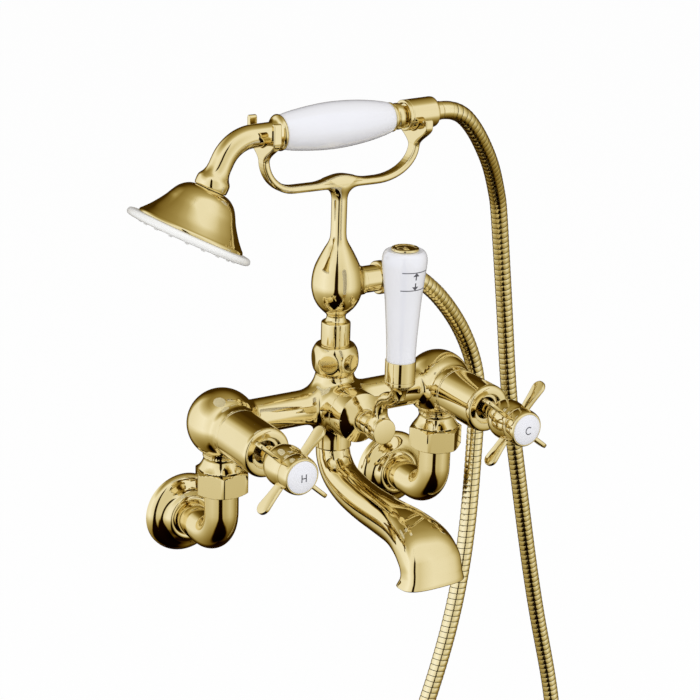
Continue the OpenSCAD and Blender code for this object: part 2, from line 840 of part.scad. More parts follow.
module hose_washer_outlet() {
    color(rubber) at_bar() translate([0, 0, outlet_z]) difference() {
        along_x(8.9, outlet_nut + 3, outlet_nut + 5.4);
        along_x(4.6, outlet_nut + 2, outlet_nut + 7);
    }
}

// Hose: a smooth line through its route, ribbed outside and bored inside

function spline_at(p, i, t) =
    let (u = 1 - t)
    (u * u * u * p[i] + (3 * t * t * t - 6 * t * t + 4) * p[i + 1]
        + (3 * u * u * u - 6 * u * u + 4) * p[i + 2] + t * t * t * p[i + 3]) / 6;

function hose_line(steps) =
    let (
        n = len(hose_route),
        a = hose_route[0],
        b = hose_route[n - 1],
        p = concat([a, a], hose_route, [b, b])
    )
    concat(
        [[hose_start, 0, outlet_z]],
        [for (i = [0 : n]) for (k = [0 : steps - 1]) spline_at(p, i, k / steps)],
        [b, [hose_stop * cos(axis_tilt), 0, axis_z + hose_stop * sin(axis_tilt)]]
    );

function run_along(q) = [
    for (
        i = 0, s = 0;
        i < len(q);
        s = s + (i + 1 < len(q) ? norm(q[i + 1] - q[i]) : 0), i = i + 1
    ) s
];

function unit(v) = v / norm(v);

function across(v, t) = unit(v - (v * t) * t);

function carried(t) = [
    for (
        i = 0, v = across([0, 1, 0], t[0]);
        i < len(t);
        v = across(v, t[min(i + 1, len(t) - 1)]), i = i + 1
    ) v
];

function column(s, q, c) = [for (i = [0 : len(s) - 1]) [s[i], q[i][c]]];

function at_run(tab, s) = [lookup(s, tab[0]), lookup(s, tab[1]), lookup(s, tab[2])];

function hose_ring(line, side, s, r) =
    let (
        c = at_run(line, s),
        t = unit(at_run(line, s + 0.3) - at_run(line, s - 0.3)),
        e1 = across(at_run(side, s), t),
        e2 = cross(e1, t)
    )
    [
        for (k = [0 : hose_sides - 1])
            let (a = 360 * k / hose_sides)
            c + r * (cos(a) * e1 + sin(a) * e2)
    ];

function turned_over(f) = [for (t = f) [t[2], t[1], t[0]]];

module shower_hose() {
    n = hose_sides;
    q = hose_line(10);
    s = run_along(q);
    last = len(q) - 1;
    t = [for (i = [0 : last]) unit(q[min(i + 1, last)] - q[max(i - 1, 0)])];
    v = carried(t);
    line = [for (c = [0 : 2]) column(s, q, c)];
    side = [for (c = [0 : 2]) column(s, v, c)];
    total = s[last];
    low = outlet_end + 2 * seat_gap - hose_start;
    high = total - (tail_end + 2 * seat_gap - hose_stop);
    pitch = (high - low) / rib_count;
    outer = concat(
        [[0, hose_neck_r], [low, hose_neck_r], [low, hose_r - rib_depth]],
        [for (k = [0 : rib_count - 1]) each [
            [low + (k + 0.5) * pitch, hose_r], [low + (k + 1) * pitch, hose_r - rib_depth]
        ]],
        [[high, hose_neck_r], [total, hose_neck_r]]
    );
    inner = [for (k = [0 : bore_rings]) [total * k / bore_rings, hose_bore_r]];
    rings = [for (o = concat(outer, inner)) hose_ring(line, side, o[0], o[1])];
    m = len(outer);
    w = len(inner);
    b = m * n;
    e = (m - 1) * n;
    g = (m + w - 1) * n;
    faces = concat(
        [for (i = [0 : m - 2]) each quad_strip(i * n, (i + 1) * n, n)],
        [for (i = [m : m + w - 2]) each turned_over(quad_strip(i * n, (i + 1) * n, n))],
        [for (k = [0 : n - 1]) let (j = (k + 1) % n) each [[j, k, b + k], [j, b + k, b + j]]],
        [for (k = [0 : n - 1]) let (j = (k + 1) % n) each [[e + k, e + j, g + k], [e + j, g + j, g + k]]]
    );
    probe = [for (d = [0 : 12 : total]) [d, at_run(line, d)]];
    gap = min([
        for (i = [0 : len(probe) - 1]) for (j = [i + 6 : 1 : len(probe) - 1])
            norm(probe[i][1] - probe[j][1]) - hose_d
    ]);
    echo(hose_length = total, hose_gap_to_itself = gap);
    color(gold) at_bar() polyhedron([for (r = rings) each r], faces, convexity = 10);
}

wall_flange_left();
wall_flange_right();
inlet_elbow_left();
inlet_elbow_right();
union_nut_left();
union_nut_right();
union_washers();
body_casting();
spout();
column_nut();
cradle_pillar();
cradle_yoke();
hose_outlet();
bonnet_left();
bonnet_right();
cartridge_left();
cartridge_right();
seat_discs();
hot_spindle();
hot_disc();
hot_hub();
hot_blades();
hot_bezel();
hot_index();
hot_screw();
cold_spindle();
cold_disc();
cold_hub();
cold_blades();
cold_bezel();
cold_index();
cold_screw();
diverter_bonnet();
diverter_gland();
diverter_spindle();
lever_arm();
lever_hub_cap();
lever_ferrule();
lever_grip();
lever_tie_rod();
lever_cap();
rose_bell();
spray_plate();
spray_nozzles();
gooseneck();
handset_collar();
handset_grip();
handset_tube();
handset_tail();
hose_nut_handset();
hose_ferrule_handset();
hose_washer_handset();
shower_hose();
hose_nut_outlet();
hose_ferrule_outlet();
hose_washer_outlet();
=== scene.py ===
"""Looks of a wall-mounted bath shower mixer: gold plate, white porcelain and a wound metal hose."""

import json
from math import acos, atan2, cos, hypot, pi, radians, sin, tan

import bmesh
import bpy
import numpy as np
from mathutils import Matrix, Vector

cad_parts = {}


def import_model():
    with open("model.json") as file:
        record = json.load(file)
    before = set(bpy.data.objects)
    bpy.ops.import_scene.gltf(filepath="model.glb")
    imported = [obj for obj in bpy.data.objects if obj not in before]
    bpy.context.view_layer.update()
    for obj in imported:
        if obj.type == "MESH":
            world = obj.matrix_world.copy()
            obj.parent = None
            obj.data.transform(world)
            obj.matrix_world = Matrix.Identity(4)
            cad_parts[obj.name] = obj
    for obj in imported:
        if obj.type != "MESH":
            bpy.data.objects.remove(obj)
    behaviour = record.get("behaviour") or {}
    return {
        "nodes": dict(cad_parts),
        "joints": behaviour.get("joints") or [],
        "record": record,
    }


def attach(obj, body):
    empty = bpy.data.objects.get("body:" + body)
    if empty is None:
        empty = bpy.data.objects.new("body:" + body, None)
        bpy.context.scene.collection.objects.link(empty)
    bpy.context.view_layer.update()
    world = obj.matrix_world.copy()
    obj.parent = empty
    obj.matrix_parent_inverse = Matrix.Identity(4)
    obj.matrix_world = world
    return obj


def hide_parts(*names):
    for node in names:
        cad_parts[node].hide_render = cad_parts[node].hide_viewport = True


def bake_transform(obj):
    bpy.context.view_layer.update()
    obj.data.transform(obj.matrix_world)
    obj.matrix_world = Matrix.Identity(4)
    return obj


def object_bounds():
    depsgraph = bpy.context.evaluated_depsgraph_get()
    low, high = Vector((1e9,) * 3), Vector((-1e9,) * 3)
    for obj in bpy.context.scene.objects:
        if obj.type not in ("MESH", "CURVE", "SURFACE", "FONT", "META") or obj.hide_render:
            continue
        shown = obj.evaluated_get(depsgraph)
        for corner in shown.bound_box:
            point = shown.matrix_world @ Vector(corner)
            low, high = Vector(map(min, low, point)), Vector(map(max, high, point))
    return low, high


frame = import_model()
cad_box = [list(corner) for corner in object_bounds()]

# Pieces are drawn in millimetres from the middle of the crossbar: x to the right, y to the wall, z up.
# "Forwards" below is the distance from the crossbar's axis towards the user, which is -y.
MM = 0.001
JOINTS = {joint["name"]: joint for joint in frame["joints"]}
BAR = np.array(JOINTS["diverter_turn"]["pos_m"])
VALVE_X = JOINTS["cold_turn"]["pos_m"][0] / MM
WALL_Y = -BAR[1] / MM
INLET_Z = -BAR[2] / MM
SIDES = {"left": -1, "right": 1}
TAPS = {"hot": -1, "cold": 1}
BLADE_TURN = {"hot": 48, "cold": 51}
NUT_TURN = {"left": 8, "right": 39}

AXIS_Z = 201.1          # middle of the hand shower's axis
AXIS_TILT = 1.9         # the axis rises to the right
OUTLET_Z = 88           # hose outlet's axis
LEVER_OUT = 83          # lever grip's axis, forwards
LEVER_FOOT = 41         # where the lever's arm ends and its ferrule starts
NECK_R = 7.9
POST_R = 5.5
POST_JOIN = 144         # where the turned pillar meets the cast cradle
ROSE_CORNER = -84.07    # where the rose's axis meets the hand shower's
ROSE_TILT = 61.1        # between these two axes
ROSE_RUN = 70.27        # from the spray plate to the corner
GOOSE_END = -55.2       # where the neck enters the front collar
GOOSE_R = 26            # the neck's bend
HAND_TAIL_END = 80.5    # both ends of the hose leave a ferrule here
OUTLET_END = 46
HOSE_R = 6.4
HOUSING_R = 24.5
BAR_R = 12.5
BOSS_FRONT = 24         # front of the three bosses, forwards
BONNET_R = 17.5
DIVERTER_R = 18


# Outlines

def full_turn(sides):
    return np.linspace(0, 2 * pi, sides, endpoint=False)


def raised(points, low):
    """Outline points whose run is counted from low."""
    return [(r, low + run, *setback) for r, run, *setback in points]


def fillet(points, steps=5):
    """An outline whose corners are rounded where a point has a third number, the setback of the rounding."""
    out = []
    count = len(points)
    for i, point in enumerate(points):
        here = np.array(point[:2], float)
        if len(point) < 3:
            out.append(here)
            continue
        legs = []
        for other in (points[i - 1], points[(i + 1) % count]):
            leg = np.array(other[:2], float) - here
            legs.append((leg / np.linalg.norm(leg), np.linalg.norm(leg)))
        cut = min(point[2], 0.48 * legs[0][1], 0.48 * legs[1][1])
        start, end = here + legs[0][0] * cut, here + legs[1][0] * cut
        if legs[0][1] > 2.2 * cut:
            out.append(here + legs[0][0] * cut * 1.15)
        for t in np.linspace(0, 1, steps + 1):
            out.append((1 - t) ** 2 * start + 2 * t * (1 - t) * here + t * t * end)
        if legs[1][1] > 2.2 * cut:
            out.append(here + legs[1][0] * cut * 1.15)
    return out


def smooth(points, steps=5):
    """A smooth curve through the points."""
    p = np.array(points, float)
    p = np.vstack([2 * p[0] - p[1], p, 2 * p[-1] - p[-2]])
    out = []
    for i in range(1, len(p) - 2):
        for t in np.arange(steps) / steps:
            out.append(0.5 * (
                2 * p[i] + (p[i + 1] - p[i - 1]) * t
                + (2 * p[i - 1] - 5 * p[i] + 4 * p[i + 1] - p[i + 2]) * t ** 2
                + (3 * p[i] - p[i - 1] - 3 * p[i + 1] + p[i + 2]) * t ** 3
            ))
    out.append(p[-2])
    return [tuple(q) for q in out]


# Shapes: each returns its points in millimetres and its faces

def ring_faces(rows, closed):
    """Faces between rows of point numbers; a row that repeats one number is a pole."""
    faces = []
    last = len(rows) if closed else len(rows) - 1
    for i in range(last):
        a, b = rows[i], rows[(i + 1) % len(rows)]
        for k in range(len(a)):
            j = (k + 1) % len(a)
            corners = []
            for corner in (a[k], a[j], b[j], b[k]):
                if corner not in corners:
                    corners.append(corner)
            if len(corners) > 2:
                faces.append(corners)
    return faces


def lathe(outline, axis, at=(0, 0, 0), sides=96):
    """The closed outline of (radius, run) points turned about an axis. Along y, the run is forwards."""
    turn = full_turn(sides)
    points, rows = [], []
    for r, h in fillet(outline):
        count = 1 if r < 1e-6 else sides
        a, b = r * np.cos(turn[:count]), r * np.sin(turn[:count])
        run = np.full(count, h)
        ring = {"x": (run, a, b), "y": (a, -run, b), "z": (a, b, run)}[axis]
        start = len(points)
        rows.append([start + k % count for k in range(sides)])
        points.extend(np.stack(ring, -1) + at)
    return np.array(points), ring_faces(rows, closed=True)


def loft(rings, closed=True):
    """A skin over rings of equal count: the last is joined to the first, or both ends have a cap."""
    count = len(rings[0])
    rows = [[i * count + k for k in range(count)] for i in range(len(rings))]
    caps = [] if closed else [rows[0][::-1], rows[-1]]
    return np.vstack(rings), ring_faces(rows, closed) + caps


def frames_along(line):
    """Two crosswise directions at each point of a line, carried along it without twist."""
    along = np.gradient(line, axis=0)
    along /= np.linalg.norm(along, axis=1)[:, None]
    first = np.array([0.0, 1.0, 0.0])
    if abs(first @ along[0]) > 0.9:
        first = np.array([1.0, 0.0, 0.0])
    crosswise = []
    for t in along:
        first = first - (first @ t) * t
        first = first / np.linalg.norm(first)
        crosswise.append(first)
    return np.array(crosswise), np.cross(along, crosswise)


def tube(line, radii, bore, sides=64):
    """A tube along a line, with an outer radius at each point and a plain bore."""
    line = np.array(line, float)
    turn = full_turn(sides)[:, None]
    stations = list(zip(line, *frames_along(line), radii))
    stations += [(*station[:3], bore) for station in reversed(stations)]
    return loft([at + r * (np.cos(turn) * u + np.sin(turn) * v) for at, u, v, r in stations])


def union_nut(turn, x, sides=144):
    """A hexagon nut with turned chamfers and eased corners, about z."""
    low, high, bore, inner, corner = -50.5, -33.5, 12.1, 17.5, 1.135
    chamfer, chamfer_wide, face_inset = 1.6, 3.1, 0.5
    angle = full_turn(sides)
    wedge = (angle - radians(turn)) % (pi / 3) - pi / 6
    hexagon = np.minimum(inner / np.cos(wedge), inner * corner)
    edge = []
    for t in (0, 0.12, 0.3, 0.55, 0.8, 1.0):
        edge.append((chamfer * t, np.minimum(hexagon, inner - face_inset + chamfer_wide * t)))
    rings = [(low + z, r) for z, r in edge] + [(high - z, r) for z, r in reversed(edge)]
    rings += [(high, np.full(sides, bore)), (low, np.full(sides, bore))]
    return loft([
        np.stack([r * np.cos(angle) + x, r * np.sin(angle), np.full(sides, z)], -1) for z, r in rings
    ])


def blade(turn, steps=14):
    """One paddle of a cross handle: a plate that widens to a round tip, with rounded edges."""
    root, root_w, tip_r, thick, soft = 11.6, 3.4, 5.4, 3, 0.8
    reach, mid = 35, 95
    tip = reach - tip_r
    waist, waist_w = root + 0.5 * (tip - root), 0.5 * (root_w + tip_r) - 0.15
    edge = [(root, -root_w), (waist, -waist_w)]
    for a in np.linspace(-pi / 2, pi / 2, steps):
        edge.append((tip + tip_r * cos(a), tip_r * sin(a)))
    edge = np.array([*edge, (waist, waist_w), (root, root_w)])
    step = np.roll(edge, -1, 0) - np.roll(edge, 1, 0)
    inwards = np.stack([-step[:, 1], step[:, 0]], -1)
    inwards /= np.linalg.norm(inwards, axis=1)[:, None]
    inwards[[0, -1], 0] = 0
    rings = []
    for a in np.linspace(0, pi / 2, 5):
        rings.append((soft * (1 - sin(a)), -thick / 2 + soft * (1 - cos(a))))
    rings = rings + [(inset, -level) for inset, level in reversed(rings)]
    c, s = cos(radians(turn)), sin(radians(turn))
    points = []
    for inset, level in rings:
        flat = edge + inwards * inset
        points.append(np.stack([
            flat[:, 0] * c + level * s, -mid + flat[:, 1], flat[:, 0] * s - level * c
        ], -1))
    return loft(points, closed=False)


def surface_net(field, low, high, cell):
    """The skin where a field of distances is zero: one point per crossed cell, moved onto the skin."""
    axes = [np.arange(a, b + cell, cell) for a, b in zip(low, high)]
    grid = np.stack(np.meshgrid(*axes, indexing="ij"), -1)
    value = field(grid)
    cells = np.array(value.shape) - 1
    total = np.zeros((*cells, 3))
    count = np.zeros(cells)
    crossings = []
    for axis in range(3):
        first = np.take(value, range(cells[axis]), axis)
        second = np.take(value, range(1, cells[axis] + 1), axis)
        crossed = (first < 0) != (second < 0)
        share = np.where(crossed, first / np.where(crossed, first - second, 1), 0)
        place = np.take(grid, range(cells[axis]), axis).copy()
        place[..., axis] += share * cell
        crossings.append((crossed, first < 0))
        u, v = (k for k in range(3) if k != axis)
        for du in (0, 1):
            for dv in (0, 1):
                pick = [slice(None)] * 3
                pick[u] = slice(du, du + cells[u])
                pick[v] = slice(dv, dv + cells[v])
                here = crossed[tuple(pick)]
                total += np.where(here[..., None], place[tuple(pick)], 0)
                count += here
    used = count > 0
    number = np.full(cells, -1)
    number[used] = np.arange(used.sum())
    points = total[used] / count[used][:, None]
    faces = []
    for axis, (crossed, outwards) in enumerate(crossings):
        u, v = (axis + 1) % 3, (axis + 2) % 3
        index = np.argwhere(crossed)
        inner = (index[:, u] > 0) & (index[:, v] > 0)
        inner &= (index[:, u] < cells[u]) & (index[:, v] < cells[v])
        index = index[inner]
        corners = []
        for du, dv in ((-1, -1), (0, -1), (0, 0), (-1, 0)):
            near = index.copy()
            near[:, u] += du
            near[:, v] += dv
            corners.append(number[tuple(near.T)])
        quads = np.stack(corners, -1)
        flip = ~outwards[tuple(index.T)]
        quads[flip] = quads[flip][:, ::-1]
        faces.append(quads)
    for _ in range(3):
        slope = gradient(field, points)
        points -= np.clip(field(points), -cell, cell)[:, None] * slope
    return points, np.vstack(faces).tolist(), gradient(field, points)


def gradient(field, points, step=0.12):
    slope = np.stack([
        field(points + offset) - field(points - offset) for offset in np.eye(3) * step
    ], -1)
    return slope / np.maximum(np.linalg.norm(slope, axis=-1, keepdims=True), 1e-9)


# Distance fields for the castings

def eased(out, run, soft):
    """Distance to what lies inside two bounds, with an eased edge where they meet."""
    out, run = out + soft, run + soft
    return np.minimum(np.maximum(out, run), 0) + np.hypot(np.maximum(out, 0), np.maximum(run, 0)) - soft


def rod(p, axis, start, end, r, soft=0.4):
    """Distance to a rod of that radius along an axis, with eased rims."""
    u, v = (k for k in range(3) if k != axis)
    run = np.abs(p[..., axis] - (start + end) / 2) - abs(end - start) / 2
    return eased(np.hypot(p[..., u], p[..., v]) - r, run, soft)


def ball(p, centre, r):
    return np.linalg.norm(p - centre, axis=-1) - r


def join(a, b, soft):
    """Union with a fillet."""
    near = np.maximum(soft - np.abs(a - b), 0) / soft
    return np.minimum(a, b) - near * near * soft / 4


def cut(a, b, soft):
    """What is inside a and outside b, with an eased edge."""
    return -join(-a, b, soft)


def along_line(u, v, line):
    """Distance in a plane to a line of points."""
    best = np.full(u.shape, 1e9)
    for (au, av), (bu, bv) in zip(line[:-1], line[1:]):
        du, dv = bu - au, bv - av
        t = np.clip(((u - au) * du + (v - av) * dv) / (du * du + dv * dv), 0, 1)
        best = np.minimum(best, np.hypot(u - au - t * du, v - av - t * dv))
    return best


def inside_outline(u, v, outline):
    """Signed distance in a plane to a closed outline."""
    best = along_line(u, v, outline + outline[:1])
    inside = np.zeros(u.shape, bool)
    for (au, av), (bu, bv) in zip(outline, outline[1:] + outline[:1]):
        if av != bv:
            inside ^= ((av > v) != (bv > v)) & (u < (bu - au) * (v - av) / (bv - av) + au)
    return np.where(inside, -best, best)


def slab(flat, level, half, soft):
    """A flat shape of that distance field, thickened both ways and eased along its edges."""
    return eased(flat, np.abs(level) - half, soft)


# Materials

def node_tree(name):
    material = bpy.data.materials.new(name)
    material.use_nodes = True
    tree = material.node_tree
    return material, tree, tree.nodes["Principled BSDF"]


def new_node(tree, kind, inputs=()):
    """A node of that kind, with plain values or links for its inputs by name or number."""
    made = tree.nodes.new(kind)
    for key, value in dict(inputs).items():
        if isinstance(value, bpy.types.NodeSocket):
            tree.links.new(value, made.inputs[key])
        else:
            made.inputs[key].default_value = value
    return made


def noise(tree, scale, detail=3.0):
    place = new_node(tree, "ShaderNodeTexCoord").outputs["Object"]
    inputs = {"Vector": place, "Scale": scale, "Detail": detail}
    return new_node(tree, "ShaderNodeTexNoise", inputs).outputs["Fac"]


def ramp(tree, factor, stops):
    """A colour by a factor, from stops that have a colour or a grey level each."""
    made = new_node(tree, "ShaderNodeValToRGB", {"Fac": factor})
    elements = made.color_ramp.elements
    elements[0].position, elements[1].position = stops[0][0], stops[-1][0]
    for place, _ in stops[1:-1]:
        elements.new(place)
    for element, (_, colour) in zip(elements, stops):
        element.color = (*colour, 1) if isinstance(colour, tuple) else (colour, colour, colour, 1)
    return made.outputs["Color"]


def drift(tree, socket, scale, low, high, edge=0.3):
    """Lets an input drift over the surface between two colours or two levels."""
    tree.links.new(ramp(tree, noise(tree, scale), [(edge, low), (1 - edge, high)]), socket)


def bump(tree, shader, height, strength, distance):
    made = new_node(tree, "ShaderNodeBump", {"Height": height, "Strength": strength, "Distance": distance})
    tree.links.new(made.outputs["Normal"], shader.inputs["Normal"])


def metal(name, light, dark, rough, grain, grain_depth):
    """Metal whose tint and polish drift over the surface, with a fine grain left by the polishing."""
    material, tree, shader = node_tree(name)
    shader.inputs["Metallic"].default_value = 1.0
    drift(tree, shader.inputs["Base Color"], 28, dark, light)
    drift(tree, shader.inputs["Roughness"], 90, *rough, edge=0.25)
    bump(tree, shader, noise(tree, grain, 5.0), 0.1, grain_depth)
    return material


def glaze(name, light, dark, rough, coat):
    """A glazed or moulded body under a clear coat, with slight waviness from firing or moulding."""
    material, tree, shader = node_tree(name)
    shader.inputs["Coat Weight"].default_value = coat
    shader.inputs["Coat Roughness"].default_value = 0.04
    shader.inputs["Specular IOR Level"].default_value = 0.5
    drift(tree, shader.inputs["Base Color"], 22, dark, light)
    drift(tree, shader.inputs["Roughness"], 140, *rough)
    bump(tree, shader, noise(tree, 60, 2.0), 0.15, 0.0002)
    return material


METALS = {      # light and dark tint, roughness from and to, scale and depth of the grain
    "gold_plate": ((0.835, 0.725, 0.43), (0.805, 0.695, 0.4), (0.03, 0.06), 900, 0.00001),
    "hose_metal": ((0.89, 0.785, 0.485), (0.85, 0.745, 0.445), (0.13, 0.2), 1400, 0.00003),
    # painted shade: a dark dull metal for the groove between the hose's turns, standing in for the shade that
    # falls there
    "hose_groove_painted_shade": ((0.27, 0.2, 0.085), (0.2, 0.145, 0.055), (0.4, 0.5), 1400, 0.00003),
    "plain_brass": ((0.72, 0.58, 0.28), (0.62, 0.48, 0.2), (0.22, 0.38), 2200, 0.00006),
}
GLAZES = {      # light and dark tint, roughness from and to, weight of the clear coat
    "white_porcelain": ((0.80, 0.805, 0.855), (0.785, 0.79, 0.84), (0.08, 0.14), 0.6),
    "white_plastic": ((0.86, 0.86, 0.85), (0.83, 0.83, 0.82), (0.2, 0.3), 0.1),
    "valve_ceramic": ((0.80, 0.79, 0.76), (0.74, 0.73, 0.70), (0.35, 0.5), 0.0),
    "black_rubber": ((0.035, 0.035, 0.037), (0.022, 0.022, 0.023), (0.55, 0.75), 0.0),
    "fired_ink": ((0.10, 0.10, 0.13), (0.07, 0.07, 0.09), (0.2, 0.3), 0.3),
}
MATERIALS = {name: metal(name, *look) for name, look in METALS.items()}
MATERIALS.update({name: glaze(name, *look) for name, look in GLAZES.items()})

for part in frame["record"]["subparts"]:
    shown = frame["nodes"][part["node"]].data
    shown.materials.clear()
    shown.materials.append(MATERIALS[part["material_slot"]])


# Pieces

def placed(name, data):
    made = bpy.data.objects.new(name, data)
    bpy.context.scene.collection.objects.link(made)
    return made


def add(name, shape, body, slot, nodes=(), crease=38, finish=None):
    """Makes a piece from a shape with its finish and body, and hides the CAD nodes that it stands for."""
    points, faces = shape[:2]
    mesh = bpy.data.meshes.new(name)
    mesh.from_pydata((np.asarray(points) * MM + BAR).tolist(), [], faces)
    if len(shape) < 3:
        work = bmesh.new()
        work.from_mesh(mesh)
        bmesh.ops.recalc_face_normals(work, faces=work.faces)
        work.to_mesh(mesh)
        work.free()
    mesh.shade_smooth()
    if len(shape) < 3:
        mesh.set_sharp_from_angle(angle=radians(crease))
    else:
        mesh.normals_split_custom_set_from_vertices(shape[2].tolist())
    mesh.materials.append(MATERIALS[finish or slot])
    made = placed(name, mesh)
    if nodes:
        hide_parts(*nodes)
    if body:
        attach(made, body)
    return made


def stands_for(node, shape, body="mixer", slot="gold_plate", **more):
    return add(node + "_formed", shape, body, slot, (node,), **more)


# Inlets

def wall_flange(x):
    dome = [
        (29.5, 0.9), (29.4, 2.2), (28.8, 3.9), (27.4, 5.6), (25.4, 6.9), (23, 7.9), (20.8, 9), (19, 10.5),
        (17.8, 12.2), (16.8, 13.6), (15.6, 14.3), (14.4, 14.4), (13.2, 14.1), (12.1, 13.5),
    ]
    return lathe([(12.1, 0), (29.5, 0), *smooth(dome)], "y", (x, WALL_Y, INLET_Z))


def inlet_elbow(x):
    bend, r, waterway, top = 23, 12, 8, -42
    thread = [9.7, 10.48, 10.48, 10.48]
    line = [(x, WALL_Y + back, INLET_Z) for back in (15, 14.2, 8, 0.4, 0.3)]
    line += [(x, WALL_Y - forwards, INLET_Z) for forwards in np.linspace(0, WALL_Y - bend, 7)[:-1]]
    for a in np.linspace(0, pi / 2, 25):
        line.append((x, bend - bend * sin(a), INLET_Z + bend - bend * cos(a)))
    line += [(x, 0, z) for z in np.linspace(INLET_Z + bend, top, 7)[1:]]
    return tube(line, thread + [r] * (len(line) - len(thread)), waterway)


for side, way in SIDES.items():
    stands_for(f"wall_flange_{side}", wall_flange(way * VALVE_X))
    stands_for(f"inlet_elbow_{side}", inlet_elbow(way * VALVE_X))
    stands_for(f"union_nut_{side}", union_nut(NUT_TURN[side], way * VALVE_X), crease=20)


# Body

UNION_TAIL = [(-20, -33.4)] + smooth([
    (17, -33.4), (16.6, -32.5), (15.4, -30.9), (14, -28.7), (13.1, -26.5), (12.9, -24.9), (13.6, -22.5),
], 3) + [(-20, -22.5)]


def body_field(p):
    tap = np.stack([np.abs(p[..., 0]) - VALVE_X, p[..., 1], p[..., 2]], -1)
    housing = ball(tap, (0, 0, 0), HOUSING_R)
    housing = join(housing, rod(tap, 1, -BOSS_FRONT, 0, BONNET_R, 0.25), 1.6)
    tail = inside_outline(np.hypot(tap[..., 0], tap[..., 1]), tap[..., 2], UNION_TAIL)
    housing = join(housing, np.minimum(tail, rod(tap, 2, -36.5, -30, 12.6)), 3)
    bar = rod(p, 0, -VALVE_X, VALVE_X, BAR_R)
    column = join(rod(p, 2, -33, 22, 13.4), rod(p, 2, 0, 33.4, 12.4), 0.3)
    body = join(bar, column, 15)
    body = join(body, rod(p, 1, -BOSS_FRONT, 0, DIVERTER_R, 0.25), 4)
    body = join(body, housing, 3)
    bores = np.minimum(rod(tap, 1, -26, 9, 10.05), rod(p, 1, -26, 12, 9.05))
    bores = np.minimum(bores, rod(p, 2, -36, 36, 8))
    return cut(body, bores, 0.3)


stands_for("body_casting", surface_net(body_field, (-117, -27, -39), (117, 27, 36), 1.3))


def spout():
    """Rings of rounded outline along a bent line, fine enough to be smooth, with a wall and an eased lip."""
    reach, wall = 133, 2.6
    stations = [
        # forwards as a share of the reach, height, tilt, half width, half depth, squareness
        (0, -33, 0, 12.2, 12.2, 2), (0.02, -42, 12, 12.6, 12.6, 2), (0.085, -51.5, 42, 13, 13, 2),
        (0.21, -57.5, 76, 13.6, 13.4, 2), (0.375, -60, 89, 14.2, 13.6, 2), (0.555, -60, 92, 15.2, 13.6, 2.1),
        (0.735, -59.5, 88, 17.6, 13.4, 2.3), (0.868, -62.5, 62, 20.4, 13, 2.6),
        (0.948, -69.5, 32, 21.6, 12, 3), (0.972, -76, 14, 21.9, 11, 3.1), (0.976, -80.4, 9, 22.4, 11.2, 3.1),
        (0.974, -83.6, 6, 23.6, 12, 3), (0.971, -86, 5, 24.3, 12.6, 3),
    ]
    lip = [(0.25, 0.35), (0.8, 0.6), (1.8, 0.6), (2.4, 0.3)]      # inset and drop past the last ring
    turn = full_turn(80)

    def ring(station, inset, drop=0.0):
        share, z, tilt, w, h, square = station
        power = 2 / square
        u = (w - inset) * np.sign(np.cos(turn)) * np.abs(np.cos(turn)) ** power
        v = (h - inset) * np.sign(np.sin(turn)) * np.abs(np.sin(turn)) ** power
        a = radians(tilt)
        return np.stack([u, -reach * share + v * cos(a), z - drop - v * sin(a)], -1)

    fine = smooth(stations, 7)
    outer = [ring(s, 0) for s in fine] + [ring(fine[-1], inset, drop) for inset, drop in lip]
    return loft(outer + [ring(s, wall) for s in reversed(fine)])


stands_for("spout", spout(), crease=50)


def column_nut_field(p):
    turn, flat_out = 12, 15.7
    dome = ball(p, (0, 0, 33.3), 17.2)
    nut = -join(-dome, -rod(p, 2, 22.05, 44, 19, 0.5), 0.8)
    for k in range(6):
        a = radians(turn + 30 + 60 * k)
        flat = p[..., 0] * cos(a) + p[..., 1] * sin(a) - flat_out
        nut = -join(-nut, -flat, 0.5)
    return cut(nut, np.minimum(rod(p, 2, 0, 36.4, 12.45), rod(p, 2, 0, 60, 10.5)), 0.3)


stands_for("column_nut", surface_net(column_nut_field, (-19, -19, 21), (19, 19, 46), 0.7))


# Cradle

PILLAR_CURVE = smooth([
    (10.4, 58.6), (10.3, 59.9), (9.6, 60.6), (8.4, 61.1), (7.35, 62.2), (6.85, 63.6), (6.85, 65), (7.6, 66.5),
    (10.4, 69.1), (13.6, 72.7), (16.2, 77.5), (17.7, 83), (18.1, 88), (17.6, 94), (16.2, 100), (14.2, 104.8),
    (11.9, 109.4), (9.4, 114), (7.3, 117.6), (6.05, 120.8), (5.6, 124.4), (POST_R, 130), (POST_R, POST_JOIN),
])


def cradle_pillar():
    foot = [(0, 33.4), (11.8, 33.4, 0.3), (11.8, 36.2, 0.3), (10.4, 36.2), (10.4, 50)]
    return lathe([*foot, *PILLAR_CURVE, (0, POST_JOIN)], "z")


def outlet_stub(sides=72):
    """The short branch on the pillar's bulb, with a cast fillet where it leaves the bulb."""
    r, reach, soft = 10.4, 20, 3.0
    widths, heights = np.array(PILLAR_CURVE).T
    turn = full_turn(sides)

    def on_bulb(width):
        y, z = width * np.cos(turn), width * np.sin(turn)
        across = np.interp(z + OUTLET_Z, heights, widths)
        return np.stack([np.sqrt(np.maximum(across ** 2 - y ** 2, 4)), y, z + OUTLET_Z], -1)

    rings = [on_bulb(r + soft) - [0.3, 0, 0]]
    for t in np.linspace(0, 1, 7):
        ring = on_bulb(r + soft * (1 - t) ** 2)
        ring[:, 0] = np.minimum(ring[:, 0] + soft * t * t, reach - 0.4)
        rings.append(ring)
    for width, x in ((r, reach - 0.3), (r - 0.3, reach), (5, reach), (5, 8)):
        rings.append(np.stack([np.full(sides, x), width * np.cos(turn), width * np.sin(turn) + OUTLET_Z], -1))
    return loft(rings)


def at_outlet(outline):
    return lathe(outline, "x", (0, 0, OUTLET_Z))


